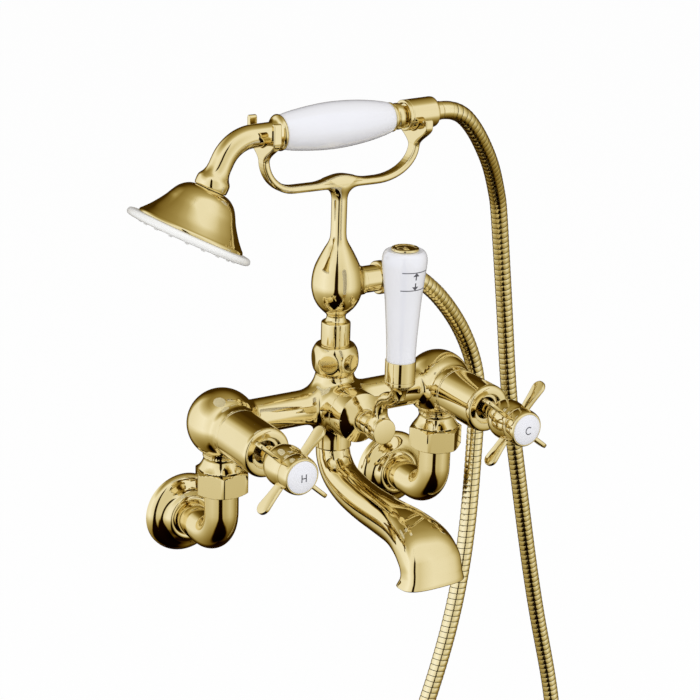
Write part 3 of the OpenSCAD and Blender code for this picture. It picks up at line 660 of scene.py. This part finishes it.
BOW_Z = 159.7            # the bow's middle line
BOW_R = 22.5
BOW_REACH = 32           # the right corner starts to rise sooner
BOW_WIDE = 4.8
BOW_THICK = 2.6          # both are half sizes
BOW_SOFT = 2.3
FORK_X = 60
FORK_Z = BOW_Z + BOW_R   # where the bow turns upright
FORK_WIDE = 18.6
FORK_SLOT = 14.8
HUMP_X = 22
HUMP_Z = 4.2


def fork_outline(seat_z, seat_r, tip):
    """A fork seen from its side: a stem that flares like a wine glass into two round-topped prongs."""
    low, high = FORK_Z - 1.5, FORK_Z + 14
    prong = (FORK_WIDE - FORK_SLOT) / 2
    half = []
    for t in np.linspace(0, 1, 13):
        flare = (FORK_WIDE - BOW_WIDE) * (1 - cos(pi * t)) / 2
        half.append((BOW_WIDE + flare, low + (high - low) * t))
    for a in np.linspace(0, pi, 7):
        half.append((FORK_WIDE - prong + prong * cos(a), tip - prong + prong * sin(a)))
    half.append((FORK_SLOT, seat_z - 1))
    side = atan2(-1, FORK_SLOT) - acos(seat_r / hypot(FORK_SLOT, 1))
    for a in np.linspace(side, -pi / 2, 7):
        half.append((seat_r * cos(a), seat_z + seat_r * sin(a)))
    return half + [(-y, z) for y, z in reversed(half[:-1])]


def hump_outline():
    across = np.linspace(-HUMP_X, HUMP_X, 23)
    top = BOW_Z + BOW_THICK + HUMP_Z / 2 * (1 + np.cos(pi * across / HUMP_X))
    return [(-HUMP_X, BOW_Z), *zip(across, top), (HUMP_X, BOW_Z)]


def yoke_field(p):
    x, y, z = p[..., 0], p[..., 1], p[..., 2]
    bow = [(-FORK_X, FORK_Z + 2)]
    for way, reach in ((-1, BOW_R), (1, BOW_REACH)):
        corner = []
        for a in np.linspace(0, pi / 2, 17):
            corner.append((way * (FORK_X - reach + reach * sin(a)), FORK_Z - BOW_R * cos(a)))
        bow += corner[::way]
    bow.append((FORK_X, FORK_Z + 2))
    flat = np.minimum(along_line(x, z, bow) - BOW_THICK, inside_outline(x, z, hump_outline()))
    yoke = slab(flat, y, BOW_WIDE, BOW_SOFT)
    sunk = np.clip((POST_JOIN - 1 - z) / 4, 0, 1)
    post = np.hypot(x, y) - POST_R - 0.03 + 0.5 * sunk
    yoke = join(yoke, np.maximum(post, z - BOW_Z + 2), 9)
    slope = tan(radians(AXIS_TILT))
    for way, seat_r, tip in ((-1, NECK_R + 0.4, 209.5), (1, 11.2, 202.1)):
        near = (z > FORK_Z - 8) & (np.abs(x - way * FORK_X) < 9)
        outline = fork_outline(AXIS_Z + way * FORK_X * slope, seat_r, tip)
        flat = inside_outline(y[near], z[near], outline)
        past = np.clip((z[near] - FORK_Z) / 12, 0, 1)       # from the bow's own section to square prongs
        fork = slab(flat, x[near] - way * FORK_X, BOW_THICK + 0.4 * past, BOW_SOFT - 1.5 * past)
        yoke[near] = np.minimum(yoke[near], fork)
    return np.maximum(yoke, POST_JOIN - 5 - z)


stands_for("cradle_pillar", cradle_pillar())
add("cradle_pillar_branch", outlet_stub(), "mixer", "gold_plate")
stands_for("cradle_yoke", surface_net(yoke_field, (-65, -20, 137), (65, 20, 211.5), 0.65))
stands_for("hose_outlet", at_outlet([
    (4.6, 12), (7.5, 12), (7.5, 20.1), (9.6, 20.1, 0.4), (9.6, 32.2, 0.4), (9, 32.2), (9, 35.2), (4.6, 35.2),
]))


# Taps

def bonnet(x):
    outline = [
        (13.4, 24.05), (BONNET_R, 24.05, 0.25), (BONNET_R, 25.1, 0.2), (17.15, 25.4, 0.1),
        (BONNET_R, 25.7, 0.2), (BONNET_R, 63.6, 3.6), (10.9, 63.6, 0.7), (10.4, 60.6, 0.3), (8.2, 60.6, 0.2),
        (8.2, 58.2), (13.4, 54.6),
    ]
    return lathe(outline, "y", (x, 0, 0))


def hub(x):
    curve = smooth([
        (6.2, 64.6), (6.3, 67.5), (6.7, 70.3), (7.7, 72.9), (9.6, 75.5), (11.9, 78.4), (13.5, 82), (14.3, 86),
        (14.2, 90), (13.5, 94), (12.7, 96.6),
    ])
    bore = [(3.65, 98.6), (3.65, 77), (4.55, 76)]
    return lathe([(4.55, 64.5), *curve, (12.4, 98.6, 0.5), *bore], "y", (x, 0, 0))


def bezel(x):
    curve = smooth([(12.3, 98.9), (12.95, 99.9), (13.2, 101.6), (13.2, 104), (13.0, 106.4), (12.6, 108.1)])
    cavity = [
        (11.05, 109, 0.15), (11.05, 107.4), (4.2, 107.4), (4.2, 102.6), (2.1, 102.6), (2.1, 99.4), (0, 99.4),
    ]
    return lathe([(0, 98.7), (12.0, 98.7), *curve, (11.9, 109, 0.3), *cavity], "y", (x, 0, 0))


def index_disc(x):
    dome = smooth([
        (11, 108.9), (10.8, 109.5), (10.2, 109.95), (8.2, 110.6), (5, 111.1), (2.4, 111.27), (0, 111.3),
    ])
    return lathe([(0, 107.45), (11, 107.45), *dome], "y", (x, 0, 0))


def stroke(line, width, forwards, x):
    """A thin mark of even width along a line drawn on the front of a disc."""
    line = np.array(line, float)
    way = np.gradient(line, axis=0)
    way /= np.linalg.norm(way, axis=1)[:, None]
    out = np.stack([-way[:, 1], way[:, 0]], -1) * width / 2
    proud, corners = 0.12, []
    for edge, level in ((out, 0), (out, proud), (-out, proud), (-out, 0)):
        flat = line + edge
        corners.append(np.stack([flat[:, 0] + x, np.full(len(flat), -forwards - level), flat[:, 1]], -1))
    return loft(list(np.stack(corners, 1)), closed=False)


def merged(shapes):
    points, faces = [], []
    for shape_points, shape_faces in shapes:
        start = sum(len(p) for p in points)
        points.append(shape_points)
        faces += [[start + k for k in face] for face in shape_faces]
    return np.vstack(points), faces


LETTERS = {
    "hot": [
        [(-1.6, -2.6), (-1.6, 0), (-1.6, 2.6)], [(1.6, -2.6), (1.6, 0), (1.6, 2.6)],
        [(-1.6, 0), (0, 0), (1.6, 0)],
    ],
    "cold": [[
        (2.5 * cos(a), 2.6 * sin(a)) for a in np.linspace(0.25 * pi, 1.75 * pi, 25)
    ]],
}

for side, way in SIDES.items():
    stands_for(f"bonnet_{side}", bonnet(way * VALVE_X))
for tap, way in TAPS.items():
    x, body = way * VALVE_X, f"{tap}_handle"
    stands_for(f"{tap}_hub", hub(x), body)
    points, faces = merged([blade(BLADE_TURN[tap] + 90 * k) for k in range(4)])
    stands_for(f"{tap}_blades", (points + [x, 0, 0], faces), body, crease=45)
    stands_for(f"{tap}_bezel", bezel(x), body)
    stands_for(f"{tap}_index", index_disc(x), body, "white_porcelain")
    letter = merged([stroke(line, 0.75, 111.2, x) for line in LETTERS[tap]])
    add(f"{tap}_letter", letter, body, "white_porcelain", finish="fired_ink")


# Diverter lever

def lever_line():
    """The cranked arm's line, as (forwards, height)."""
    root, crank = 60, 75
    bend = (LEVER_OUT - root) / 2 / (1 - cos(radians(crank)))
    low = LEVER_FOOT - 2 * bend * sin(radians(crank))
    line = [(root, 0)]
    for a in np.radians(np.linspace(0, crank, 12)):
        line.append((root + bend - bend * cos(a), low + bend * sin(a)))
    for a in np.radians(np.linspace(crank, 0, 12))[1:]:
        line.append((LEVER_OUT - bend + bend * cos(a), LEVER_FOOT - bend * sin(a)))
    return line


LEVER_LINE = lever_line()


def lever_arm_field(p):
    forwards, z = -p[..., 1], p[..., 2]
    spread = 1 + 0.6 * np.clip(1 - z / 19, 0, 1) ** 1.3
    arm = np.hypot(along_line(forwards, z, LEVER_LINE), p[..., 0] / spread) - 4.9
    rise = np.clip((z - 29.5) / 11.5, 0, 1)
    horn = np.hypot(forwards - LEVER_OUT, p[..., 0]) - 4.2 - 6.2 * rise ** 2.3
    horn = np.maximum(horn * 0.75, np.abs(z - 35.2) - 5.8)
    arm = join(arm, horn, 0.8)
    hub_out = rod(p, 1, -64.6, -55, 9.1, 0.8)
    hub_out = join(hub_out, rod(p, 1, -60, -46, 8.5), 1.2)
    arm = join(arm, hub_out, 3)
    arm = np.maximum(arm, np.minimum(forwards - 64.6, 9.6 - np.hypot(p[..., 0], z)))
    bores = np.minimum(rod(p, 1, -58.05, -45, 4.05), rod(p, 1, -66, -57, 2.4))
    grip_p = p + [0, LEVER_OUT, 0]
    return cut(np.maximum(arm, z - LEVER_FOOT), np.minimum(bores, rod(grip_p, 2, 36, 42, 3.05)), 0.2)


def at_lever(outline, sides=96):
    return lathe(outline, "z", (0, -LEVER_OUT, 0), sides)


GRIP_LOW = 55.5
GRIP_TOP = GRIP_LOW + 78
GRIP_CURVE = smooth(raised([
    (9.75, 1), (9.8, 3), (10.2, 15.6), (11.1, 29.6), (12.15, 43.7), (13.5, 56.2), (14.55, 65.5), (15, 70.2),
    (14.8, 73.7), (13.9, 76.4), (12.3, 77.9), (10.6, 78),
], GRIP_LOW))


def lever_grip():
    socket = raised([(8.8, 0), (8.6, -1.4), (3.2, -1.4)], GRIP_TOP)
    return at_lever([(3.2, GRIP_LOW), (9.7, GRIP_LOW), *GRIP_CURVE, *socket])


def lever_mark(columns):
    """A mark on the front of the lever grip, from columns of (across, low, high)."""
    widths, heights = np.array(GRIP_CURVE).T
    rows, points, faces = 4, [], []
    for across, low, high in columns:
        for z in np.linspace(low, high, rows):
            r = np.interp(z, heights, widths) + 0.05
            a = across / r
            points.append((r * sin(a), -LEVER_OUT - r * cos(a), z))
    for i in range(len(columns) - 1):
        for a in range(rows * i, rows * i + rows - 1):
            faces.append([a, a + rows, a + rows + 1, a + 1])
    return np.array(points), faces


RULE_HALF = 10


def rule(z):
    return lever_mark([(across, z - 0.3, z + 0.3) for across in np.linspace(-RULE_HALF, RULE_HALF, 31)])


def arrow(z, up):
    stem, half, tall = 0.45, 2.4, 2.6
    columns = []
    for across in (-half, -1.8, -1.2, -stem - 0.01, -stem, 0, stem, stem + 0.01, 1.2, 1.8, half):
        low = 0 if abs(across) <= stem else tall
        high = tall + tall * (1 - abs(across) / half) + 0.01
        columns.append((across, z + low, z + high) if up else (across, z - high, z - low))
    return lever_mark(columns)


def lever_cap():
    low = GRIP_TOP - 1.35
    rim = [(0, 0), (8.4, 0), (8.5, 1.4), (9.2, 1.6, 0.2), (9.2, 2.9, 0.5), (8.7, 3.3, 0.2)]
    dish = [(8.2, 3.3), (7.4, 3.05), (6, 2.85), (4, 2.95), (2.4, 3.1), (1.4, 3.1)]
    hole = [(1.2, 2.9), (1.2, 2), (0, 2)]
    return at_lever(raised(rim, low) + smooth(raised(dish, low)) + raised(hole, low))


cone = smooth([(DIVERTER_R, 36.3), (17.85, 36.7), (17.4, 37.05), (15, 38.7), (12, 40.5), (9, 42)])
stands_for("diverter_bonnet", lathe([
    (8, 24.05), (DIVERTER_R, 24.05, 0.3), *cone, (8.2, 42), (8.2, 33), (4.1, 33), (4.1, 29), (8, 29),
], "y"))
stands_for("diverter_gland", lathe([(4.05, 33.05), (8.1, 33.05), (8.1, 45.4, 0.8), (4.05, 45.4)], "y"))
arm_shape = surface_net(lever_arm_field, (-12, -95, -11), (12, -44, 42.5), 0.75)
stands_for("lever_arm", arm_shape, "diverter_lever")
stands_for("lever_hub_cap", lathe([
    (0, 58.4), (2.3, 58.4), (2.3, 64.65), (9.1, 64.65, 0.3), (9.1, 67.0, 0.8), (6, 67.15), (0, 67.2),
], "y"), "diverter_lever")
stands_for("lever_ferrule", at_lever([
    (3.05, 41.05), (10.4, 41.05, 0.3), (10.4, 43.2, 0.15), (10.15, 43.4, 0.1), (10.4, 43.6, 0.15),
    (10.4, 57.4, 0.35), (9.9, 57.4), (9.9, 55.4), (3.05, 55.4),
]), "diverter_lever")
stands_for("lever_grip", lever_grip(), "diverter_lever", "white_porcelain")
stands_for("lever_cap", lever_cap(), "diverter_lever")
marks = merged([rule(121.8), arrow(116.6, True), arrow(114.6, False), rule(109.4)])
add("lever_marks", marks, "diverter_lever", "white_porcelain", finish="fired_ink")


# Hand shower

def in_hand(shape):
    """Moves a shape drawn along x to the hand shower's place: tilted a little, in the forks."""
    points, faces = shape
    c, s = cos(radians(AXIS_TILT)), sin(radians(AXIS_TILT))
    x, y, z = points.T
    return np.stack([x * c - z * s, y, x * s + z * c + AXIS_Z], -1), faces


def at_rose(shape):
    """Moves a shape drawn from the spray plate, with z along its axis, to the hand shower's head."""
    points, faces = shape
    c, s = cos(radians(90 - ROSE_TILT)), sin(radians(90 - ROSE_TILT))
    x, y, z = (points - [0, 0, ROSE_RUN]).T
    return in_hand((np.stack([x * c + z * s + ROSE_CORNER, y, z * c - x * s], -1), faces))


def rose_bell():
    outer = smooth([
        (37, 4.2), (36.5, 5.1), (35.2, 6.4), (31.6, 10.5), (28, 15.4), (25, 20), (22.9, 24), (20.5, 28),
        (17.6, 31), (14, 33.2), (9.8, 34.35),
    ])
    inner = smooth([
        (9.6, 31), (14, 29.6), (17.4, 26.6), (20.6, 22), (24.2, 16), (28.4, 9.8), (31.4, 7), (33.6, 5.2),
    ])
    return at_rose(lathe([(33.6, 3), (37, 3, 0.3), *outer, *inner], "z"))


def spray_plate():
    rim = smooth([(40, -2.4), (42, -2.1), (43.4, -1.3), (44, 0), (43.7, 1.4), (42.9, 2.4), (41.4, 2.9)])
    return at_rose(lathe([
        (0, -2.4), (38, -2.4), *rim, (33.4, 2.95), (33.4, 4.6, 0.3), (31, 4.6, 0.3), (31, 1), (0, 1),
    ], "z", sides=128))


def spray_nozzles():
    tip = [(0, -3.6), (0.5, -3.6), (1.2, -3.6, 0.4), (1.5, -2.4), (0, -2.4)]
    nozzles = []
    for count, radius in ((1, 0), (6, 11.5), (12, 22.5), (18, 33.5)):
        for k in range(count):
            a = 2 * pi * k / count
            nozzles.append(lathe(tip, "z", (radius * cos(a), radius * sin(a), 0), 16))
    return at_rose(merged(nozzles))


def gooseneck():
    """The neck from the rose's collar round its bend to the front collar, as one tube of changing width."""
    tilt = radians(ROSE_TILT)
    tangent = GOOSE_R * tan(tilt / 2)
    collar = [
        (24, 9.5), (34.4, 9.5), (34.5, 10.8), (34.9, 11.15), (35.8, 11.4), (38, 11.5), (40.2, 11.4),
        (41.3, 11.1), (42.4, 10.5), (43.6, 9.6), (45.2, 8.8), (47.2, 8.2), (49.6, NECK_R),
    ]
    line = []
    for run, _ in collar:
        up = run - ROSE_RUN
        line.append((ROSE_CORNER + up * cos(tilt), 0, up * sin(tilt)))
    bend_x = ROSE_CORNER + tangent
    for a in np.linspace(tilt, 0, 26):
        line.append((bend_x - GOOSE_R * sin(a), 0, GOOSE_R * (cos(a) - 1)))
    line += [(x, 0, 0) for x in np.linspace(bend_x, GOOSE_END, 4)[1:]]
    radii = [r for _, r in collar] + [NECK_R] * (len(line) - len(collar))
    return in_hand(tube(line, radii, bore=5))


def on_grip(outline):
    return in_hand(lathe(outline, "x"))


HAND_GRIP = (-47.7, 38.5)


def handset_grip():
    low, high = HAND_GRIP
    curve = raised([
        (11.3, 0.2), (11.9, 1.5), (13.3, 8.6), (14.65, 19), (15.6, 29.3), (16, 39.7), (15.75, 50), (14.8, 62),
        (13.2, 73.3),
    ], low)
    curve = smooth(curve + [(11.2, high - 3.4), (10.2, high - 0.6)])
    return on_grip([(5.1, low), (10.9, low), *curve, (9.7, high), (5.1, high)])


def handset_collar():
    end = HAND_GRIP[0] - 0.05
    curve = smooth([
        (7.95, GOOSE_END + 0.3), (8.3, -53.9), (9.35, -52.5), (11.1, -51.3), (12.15, -50.1), (12.4, -49.1),
        (12.1, -48.2), (11.5, end - 0.05),
    ])
    return on_grip([(5, GOOSE_END + 0.1), (7.9, GOOSE_END + 0.1), *curve, (11, end), (5, end)])


def handset_tail():
    low = HAND_GRIP[1] + 0.05
    ring = [(5, 0), (9.6, 0, 0.3), (10.2, 0.5, 0.3), (10.2, 1.5, 0.4), (9.6, 2, 0.3), (8, 2.4, 0.3)]
    bead = [(8, 3.2), (8.8, 3.9), (9.2, 5), (9.2, 7), (8.8, 8.1), (8, 8.7)]
    thread = [(7, low + 9.1), (7, 50.3), (9, 51.1), (9, 58.7), (5, 58.7)]
    return on_grip(raised(ring, low) + smooth(raised(bead, low)) + thread)


def hose_nut_handset():
    return on_grip([
        (9.05, 49.7), (9.8, 49.7), (10.8, 49.9, 0.6), (10.8, 52, 0.4), (10.45, 52.3), (10.45, 52.7),
        (10.8, 53, 0.3), (10.8, 72.9, 1.2), (10.4, 74.2, 0.8), (9.2, 75.1, 0.4), (7, 75.5), (5.4, 75.5),
        (5.4, 63.7), (9.05, 61.3),
    ])


def ferrule(low, high):
    return [(5.4, low), (6.6, low, 0.3), (6.6, high, 0.4), (5.4, high)]


stands_for("rose_bell", rose_bell(), "handset")
stands_for("spray_plate", spray_plate(), "handset", "white_plastic")
stands_for("spray_nozzles", spray_nozzles(), "handset", "white_plastic")
stands_for("gooseneck", gooseneck(), "handset")
stands_for("handset_collar", handset_collar(), "handset")
stands_for("handset_grip", handset_grip(), "handset", "white_porcelain")
stands_for("handset_tail", handset_tail(), "handset")
stands_for("hose_nut_handset", hose_nut_handset(), "handset")
stands_for("hose_ferrule_handset", on_grip(ferrule(75.55, HAND_TAIL_END)), "handset")
stands_for("hose_nut_outlet", at_outlet([
    (9.05, 32.25), (11.2, 32.25, 0.3), (12, 33.2, 0.4), (12, 37.6, 1), (10.6, 39.8, 0.8), (7.8, 41.4, 0.4),
    (7.2, 42), (5.4, 42), (5.4, 39.6), (9.05, 37.7),
]))
stands_for("hose_ferrule_outlet", at_outlet(ferrule(42.05, OUTLET_END)))


# Hose

HOSE_START = (38.5, 0, 88)
HOSE_STOP = (63.165, 0, 203.195)
HOSE_IN_HAND = 63.2      # where it stops, along the hand shower's axis
HOSE_ROUTE = [
    (47, 0, 88), (53, 0, 88), (59, 0, 87), (64.8, 0, 84.9), (70.2, 0.3, 81.8),
    (75, 0.8, 78.2), (79.6, 1.4, 74.4), (86, 2.5, 69), (93.4, 4.3, 61.8), (100.4, 6.2, 54.4),
    (107.7, 8.2, 45.8), (114.9, 10.2, 36.4), (121.6, 12, 26), (128.2, 13.5, 14), (134, 14.2, -1),
    (137.5, 13.5, -20), (131, 6, -63), (124, -2, -117), (112, -9, -178), (92, -13, -241),
    (69, -13, -303), (58, -10, -368), (74, -5, -431), (122, 2, -473), (184, 11, -476),
    (234, 21, -440), (256, 31, -382), (252, 39, -318), (236, 44, -254), (221, 46, -184),
    (206, 46, -111), (192, 46, -45), (184, 45, 17), (174, 42, 75), (164, 36, 117.5),
    (159.7, 33, 126.5), (152.4, 27.5, 139.3), (145.1, 22, 150.6), (137.4, 17, 161), (129.6, 12.6, 170.4),
    (122.6, 8.8, 178.4), (117, 6.2, 184.4), (112, 4.2, 189.4), (107.7, 2.8, 193.4), (103.5, 1.6, 196.8),
    (99.3, 0.8, 199.5), (94.9, 0.3, 201.6), (90.2, 0, 203.05), (85.4, 0, 203.75), (80.46, 0, 203.77),
]
STRIP_PITCH = 4.5        # the hose is wound from one strip
STRIP_SHAPE = [          # across the strip from one groove to the next: share of the pitch, depth
    (0, 0.95), (0.055, 0.12), (0.2, 0.045), (0.35, 0.011), (0.5, 0), (0.65, 0.011), (0.8, 0.045),
    (0.945, 0.12),
]
STRIP_POINTS = len(STRIP_SHAPE)
SLEEVE_LONG = 8.5        # plain sleeve past each ferrule
HOSE_NECK_R = 5.3        # the liner under the strip
HOSE_BORE_R = 4
HOSE_STEP = 0.6


def hose_line():
    """The route's smooth line in even steps, and the distance along it."""
    p = np.array([HOSE_ROUTE[0]] * 2 + HOSE_ROUTE + [HOSE_ROUTE[-1]] * 2, float)
    line = [np.array(HOSE_START, float)]
    for i in range(len(p) - 3):
        for t in np.arange(40) / 40:
            u = 1 - t
            line.append((
                u ** 3 * p[i] + (3 * t ** 3 - 6 * t * t + 4) * p[i + 1]
                + (3 * u ** 3 - 6 * u * u + 4) * p[i + 2] + t ** 3 * p[i + 3]
            ) / 6)
    line += [p[-1], np.array(HOSE_STOP, float)]
    line = np.array(line)
    run = np.concatenate([[0], np.cumsum(np.linalg.norm(np.diff(line, axis=0), axis=1))])
    even = np.linspace(0, run[-1], int(run[-1] / HOSE_STEP) + 1)
    return np.stack([np.interp(even, run, line[:, k]) for k in range(3)], -1), even


def wound_strip(place, low, high, sides=24):
    """One strip wound round the hose from low to high, with a narrow groove between its turns."""
    step = np.arange(int((high - low) / STRIP_PITCH) * sides)
    share, depth = np.array(STRIP_SHAPE).T
    run = low + (step[:, None] / sides + share) * STRIP_PITCH
    points = place(run, (HOSE_R - depth)[None, :], (step * 2 * pi / sides)[:, None]).reshape(-1, 3)
    faces = []
    for k in step[:-sides - 1]:
        for j in range(STRIP_POINTS):
            here = k * STRIP_POINTS + j
            over = here + 1 if j < STRIP_POINTS - 1 else (k + sides) * STRIP_POINTS
            faces.append((here, here + STRIP_POINTS, over + STRIP_POINTS, over))
    return points, faces


def shower_hose():
    """A wound strip on a plain liner, with a plain sleeve at each end that runs into its ferrule."""
    line, run = hose_line()
    u, v = frames_along(line)

    def place(s, radius, turn):
        middle, across, over = (
            np.stack([np.interp(s, run, way[:, k]) for k in range(3)], -1) for way in (line, u, v)
        )
        out = np.cos(turn)[..., None] * across + np.sin(turn)[..., None] * over
        return middle + radius[..., None] * out

    def pipe(stations, sides=24):
        s, radius = np.array(stations).T[..., None]
        return loft(list(place(s, radius, full_turn(sides)[None, :])))

    first = OUTLET_END - HOSE_START[0] + 0.2
    last = run[-1] - (HAND_TAIL_END - HOSE_IN_HAND) - 0.2
    liner = [(s, HOSE_NECK_R) for s in np.append(np.arange(0, run[-1], 3), run[-1])]
    liner += [(s, HOSE_BORE_R) for s, _ in reversed(liner)]
    sleeves = []
    for low, high in ((first, first + SLEEVE_LONG), (last - SLEEVE_LONG, last)):
        skin = [(low, HOSE_R - 0.35), (low + 0.35, HOSE_R)]
        skin += [(s, HOSE_R) for s in np.arange(low + 0.8, high - 0.4, 0.8)]
        skin += [(high - 0.35, HOSE_R), (high, HOSE_R - 0.35)]
        sleeves.append(pipe(skin + [(s, HOSE_NECK_R) for s, _ in reversed(skin)]))
    strip = wound_strip(place, first + SLEEVE_LONG - 2 * STRIP_PITCH, last - SLEEVE_LONG + 2 * STRIP_PITCH)
    return merged([strip, pipe(liner), *sleeves]), line, len(strip[1])


hose_shape, hose_path, strip_faces = shower_hose()
hose = add("shower_hose_wound", hose_shape, None, "hose_metal", ("shower_hose",), crease=50)
hose.data.materials.append(MATERIALS["hose_groove_painted_shade"])     # the groove faces get a dark, dull metal: painted shade where the groove between the turns lies in shade
for i in range(strip_faces):
    hose.data.polygons[i].material_index = int(i % STRIP_POINTS in (0, STRIP_POINTS - 1))
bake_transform(hose)


# Stage

CAMERA_AZIMUTH = -32.426
CAMERA_ELEVATION = 18.912
CAMERA_ROLL = 1.782
CAMERA_PLACE = (-0.6494, -1.1018, 0.5494)
FOCAL_PIXELS = 1836.49
PICTURE_PIXELS = 700


def camera():
    data = bpy.data.cameras.new("camera")
    data.sensor_width = 36
    data.lens = FOCAL_PIXELS / PICTURE_PIXELS * data.sensor_width
    azimuth, elevation, roll = map(radians, (CAMERA_AZIMUTH, CAMERA_ELEVATION, CAMERA_ROLL))
    turn = Matrix.Rotation(azimuth, 4, "Z") @ Matrix.Rotation(pi / 2 - elevation, 4, "X")
    made = placed("camera", data)
    made.matrix_world = Matrix.Translation(CAMERA_PLACE) @ turn @ Matrix.Rotation(roll, 4, "Z")
    bpy.context.scene.camera = made


def math_node(tree, kind, *values):
    made = new_node(tree, "ShaderNodeMath", enumerate(values))
    made.operation = kind
    return made.outputs[0]


def mix_shaders(tree, *inputs):
    return new_node(tree, "ShaderNodeMixShader", enumerate(inputs)).outputs[0]


# What polished metal sees round it: bright screens at both sides of a narrow dark gap, dimmer to the right
# and dark behind. First their level by the bearing from the camera's side in degrees, then a factor by the
# sine of the height.
SCREEN_BANDS = [
    (-180, 0.05), (-156, 0.05), (-142, 0.32), (-130, 0.92), (-60, 1.06), (-20, 0.9), (0, 0.8), (30, 0.78),
    (62, 0.97), (84, 0.83), (108, 0.54), (130, 0.36), (144, 0.07), (180, 0.05),
]
SCREEN_HEIGHTS = [
    (-1, 0.06), (-0.8, 0.28), (-0.6, 0.48), (-0.45, 0.68), (-0.34, 0.92), (-0.24, 1.05), (0.5, 1.05),
    (0.8, 1), (1, 1),
]
# Overhead the bearing fades out, and the level goes by how far a direction leans towards one bearing
OVERHEAD_BEARING = 30
OVERHEAD = [(-1, 0.15), (-0.6, 0.28), (-0.2, 0.42), (0.05, 0.58), (0.32, 1), (1, 1)]
OVERHEAD_SHARE = [(-1, 0), (0.4, 0), (0.8, 1), (1, 1)]
# The gap's middle bearing, its width in turns by the sine of the height, and its level across that width
GAP_MIDDLE = -2
GAP_WIDTH = [
    (-1, 0.72), (-0.93, 0.55), (-0.8, 0.32), (-0.65, 0.18), (-0.5, 0.1), (-0.36, 0.06), (-0.2, 0.045),
    (0.55, 0.04), (0.8, 0.001), (1, 0.001),
]
GAP_EDGE = [(0, 0.015), (0.4, 0.015), (0.58, 1), (1, 1)]
SCREEN_WARMTH = (1.0, 1.24, 2.2)    # powers of the level for red, green and blue: dim places are warm
SOFT_LIGHT = 0.75                   # what rough surfaces get from all round


def world():
    made = bpy.data.worlds.new("studio")
    made.use_nodes = True
    bpy.context.scene.world = made
    tree = made.node_tree
    tree.nodes.clear()

    def calc(kind, *values):
        return math_node(tree, kind, *values)

    def by_sine(value, table):
        return ramp(tree, calc("MULTIPLY_ADD", value, 0.5, 0.5), [((s + 1) / 2, level) for s, level in table])

    def background(colour, strength=1.0):
        return new_node(tree, "ShaderNodeBackground", {"Color": colour, "Strength": strength}).outputs[0]

    place = new_node(tree, "ShaderNodeTexCoord").outputs["Generated"]
    turn = new_node(tree, "ShaderNodeVectorRotate", {"Vector": place, "Angle": -radians(CAMERA_AZIMUTH)})
    turn.rotation_type = "Z_AXIS"
    parts = new_node(tree, "ShaderNodeSeparateXYZ", {"Vector": turn.outputs["Vector"]})
    right, height = parts.outputs["X"], parts.outputs["Z"]
    ahead = calc("MULTIPLY", parts.outputs["Y"], -1.0)
    bearing = calc("ARCTAN2", right, ahead)
    share = calc("MULTIPLY_ADD", bearing, 0.5 / pi, 0.5)
    bands = ramp(tree, share, [((a + 180) / 360, level) for a, level in SCREEN_BANDS])
    towards = radians(OVERHEAD_BEARING)
    lean = calc("ADD", calc("MULTIPLY", ahead, cos(towards)), calc("MULTIPLY", right, sin(towards)))
    lift = calc("SUBTRACT", by_sine(lean, OVERHEAD), bands)
    level = calc("ADD", bands, calc("MULTIPLY", lift, by_sine(height, OVERHEAD_SHARE)))
    level = calc("MULTIPLY", level, by_sine(height, SCREEN_HEIGHTS))
    aside = calc("ABSOLUTE", calc("SUBTRACT", bearing, radians(GAP_MIDDLE)))
    aside = calc("DIVIDE", calc("MULTIPLY", aside, 0.5 / pi), by_sine(height, GAP_WIDTH))
    level = calc("MULTIPLY", level, ramp(tree, aside, GAP_EDGE))
    warmed = [calc("POWER", level, power) for power in SCREEN_WARMTH]
    screens = new_node(tree, "ShaderNodeCombineColor", enumerate(warmed)).outputs[0]
    path = new_node(tree, "ShaderNodeLightPath").outputs
    white = (1, 1, 1, 1)
    light = mix_shaders(tree, path["Is Diffuse Ray"], background(screens), background(white, SOFT_LIGHT))
    shown = mix_shaders(tree, path["Is Camera Ray"], light, background(white))
    new_node(tree, "ShaderNodeOutputWorld", {"Surface": shown})


LAMP_AIM = Vector((0, -0.06, 0.15))
FLOOR_HALF = 14
FLOOR_BELOW = 0.02       # under the lowest point of the hose
FLOOR_WHITE = 0.95       # share of plain white in what the camera sees of the floor


def lamp(name, place, size, power):
    data = bpy.data.lights.new(name, "AREA")
    data.shape = "DISK"
    data.size = size
    data.energy = power
    made = placed(name, data)
    made.location = place
    made.rotation_euler = (LAMP_AIM - Vector(place)).to_track_quat("-Z", "Y").to_euler()
    made.visible_glossy = False


def floor():
    low, half = cad_box[0][2] - FLOOR_BELOW, FLOOR_HALF
    mesh = bpy.data.meshes.new("floor")
    corners = [(-half, -half, low), (half, -half, low), (half, half, low), (-half, half, low)]
    mesh.from_pydata(corners, [], [(0, 1, 2, 3)])
    made = placed("floor", mesh)
    material, tree, shader = node_tree("floor")
    shader.inputs["Roughness"].default_value = 0.9
    shader.inputs["Specular IOR Level"].default_value = 0.0
    drift(tree, shader.inputs["Base Color"], 2, 0.9, 0.92)
    glow = new_node(tree, "ShaderNodeEmission", {"Strength": 1.0})
    camera_ray = new_node(tree, "ShaderNodeLightPath").outputs["Is Camera Ray"]
    share = math_node(tree, "MULTIPLY", camera_ray, FLOOR_WHITE)
    shown = mix_shaders(tree, share, shader.outputs[0], glow.outputs[0])
    tree.links.new(shown, tree.nodes["Material Output"].inputs["Surface"])
    mesh.materials.append(material)
    made.visible_glossy = False


camera()
world()
floor()
lamp("key", (-1.6, -1.6, 2.2), 1.6, 26)
lamp("fill", (2.0, -1.4, 1.4), 1.8, 12)
bpy.context.scene.view_settings.view_transform = "Standard"
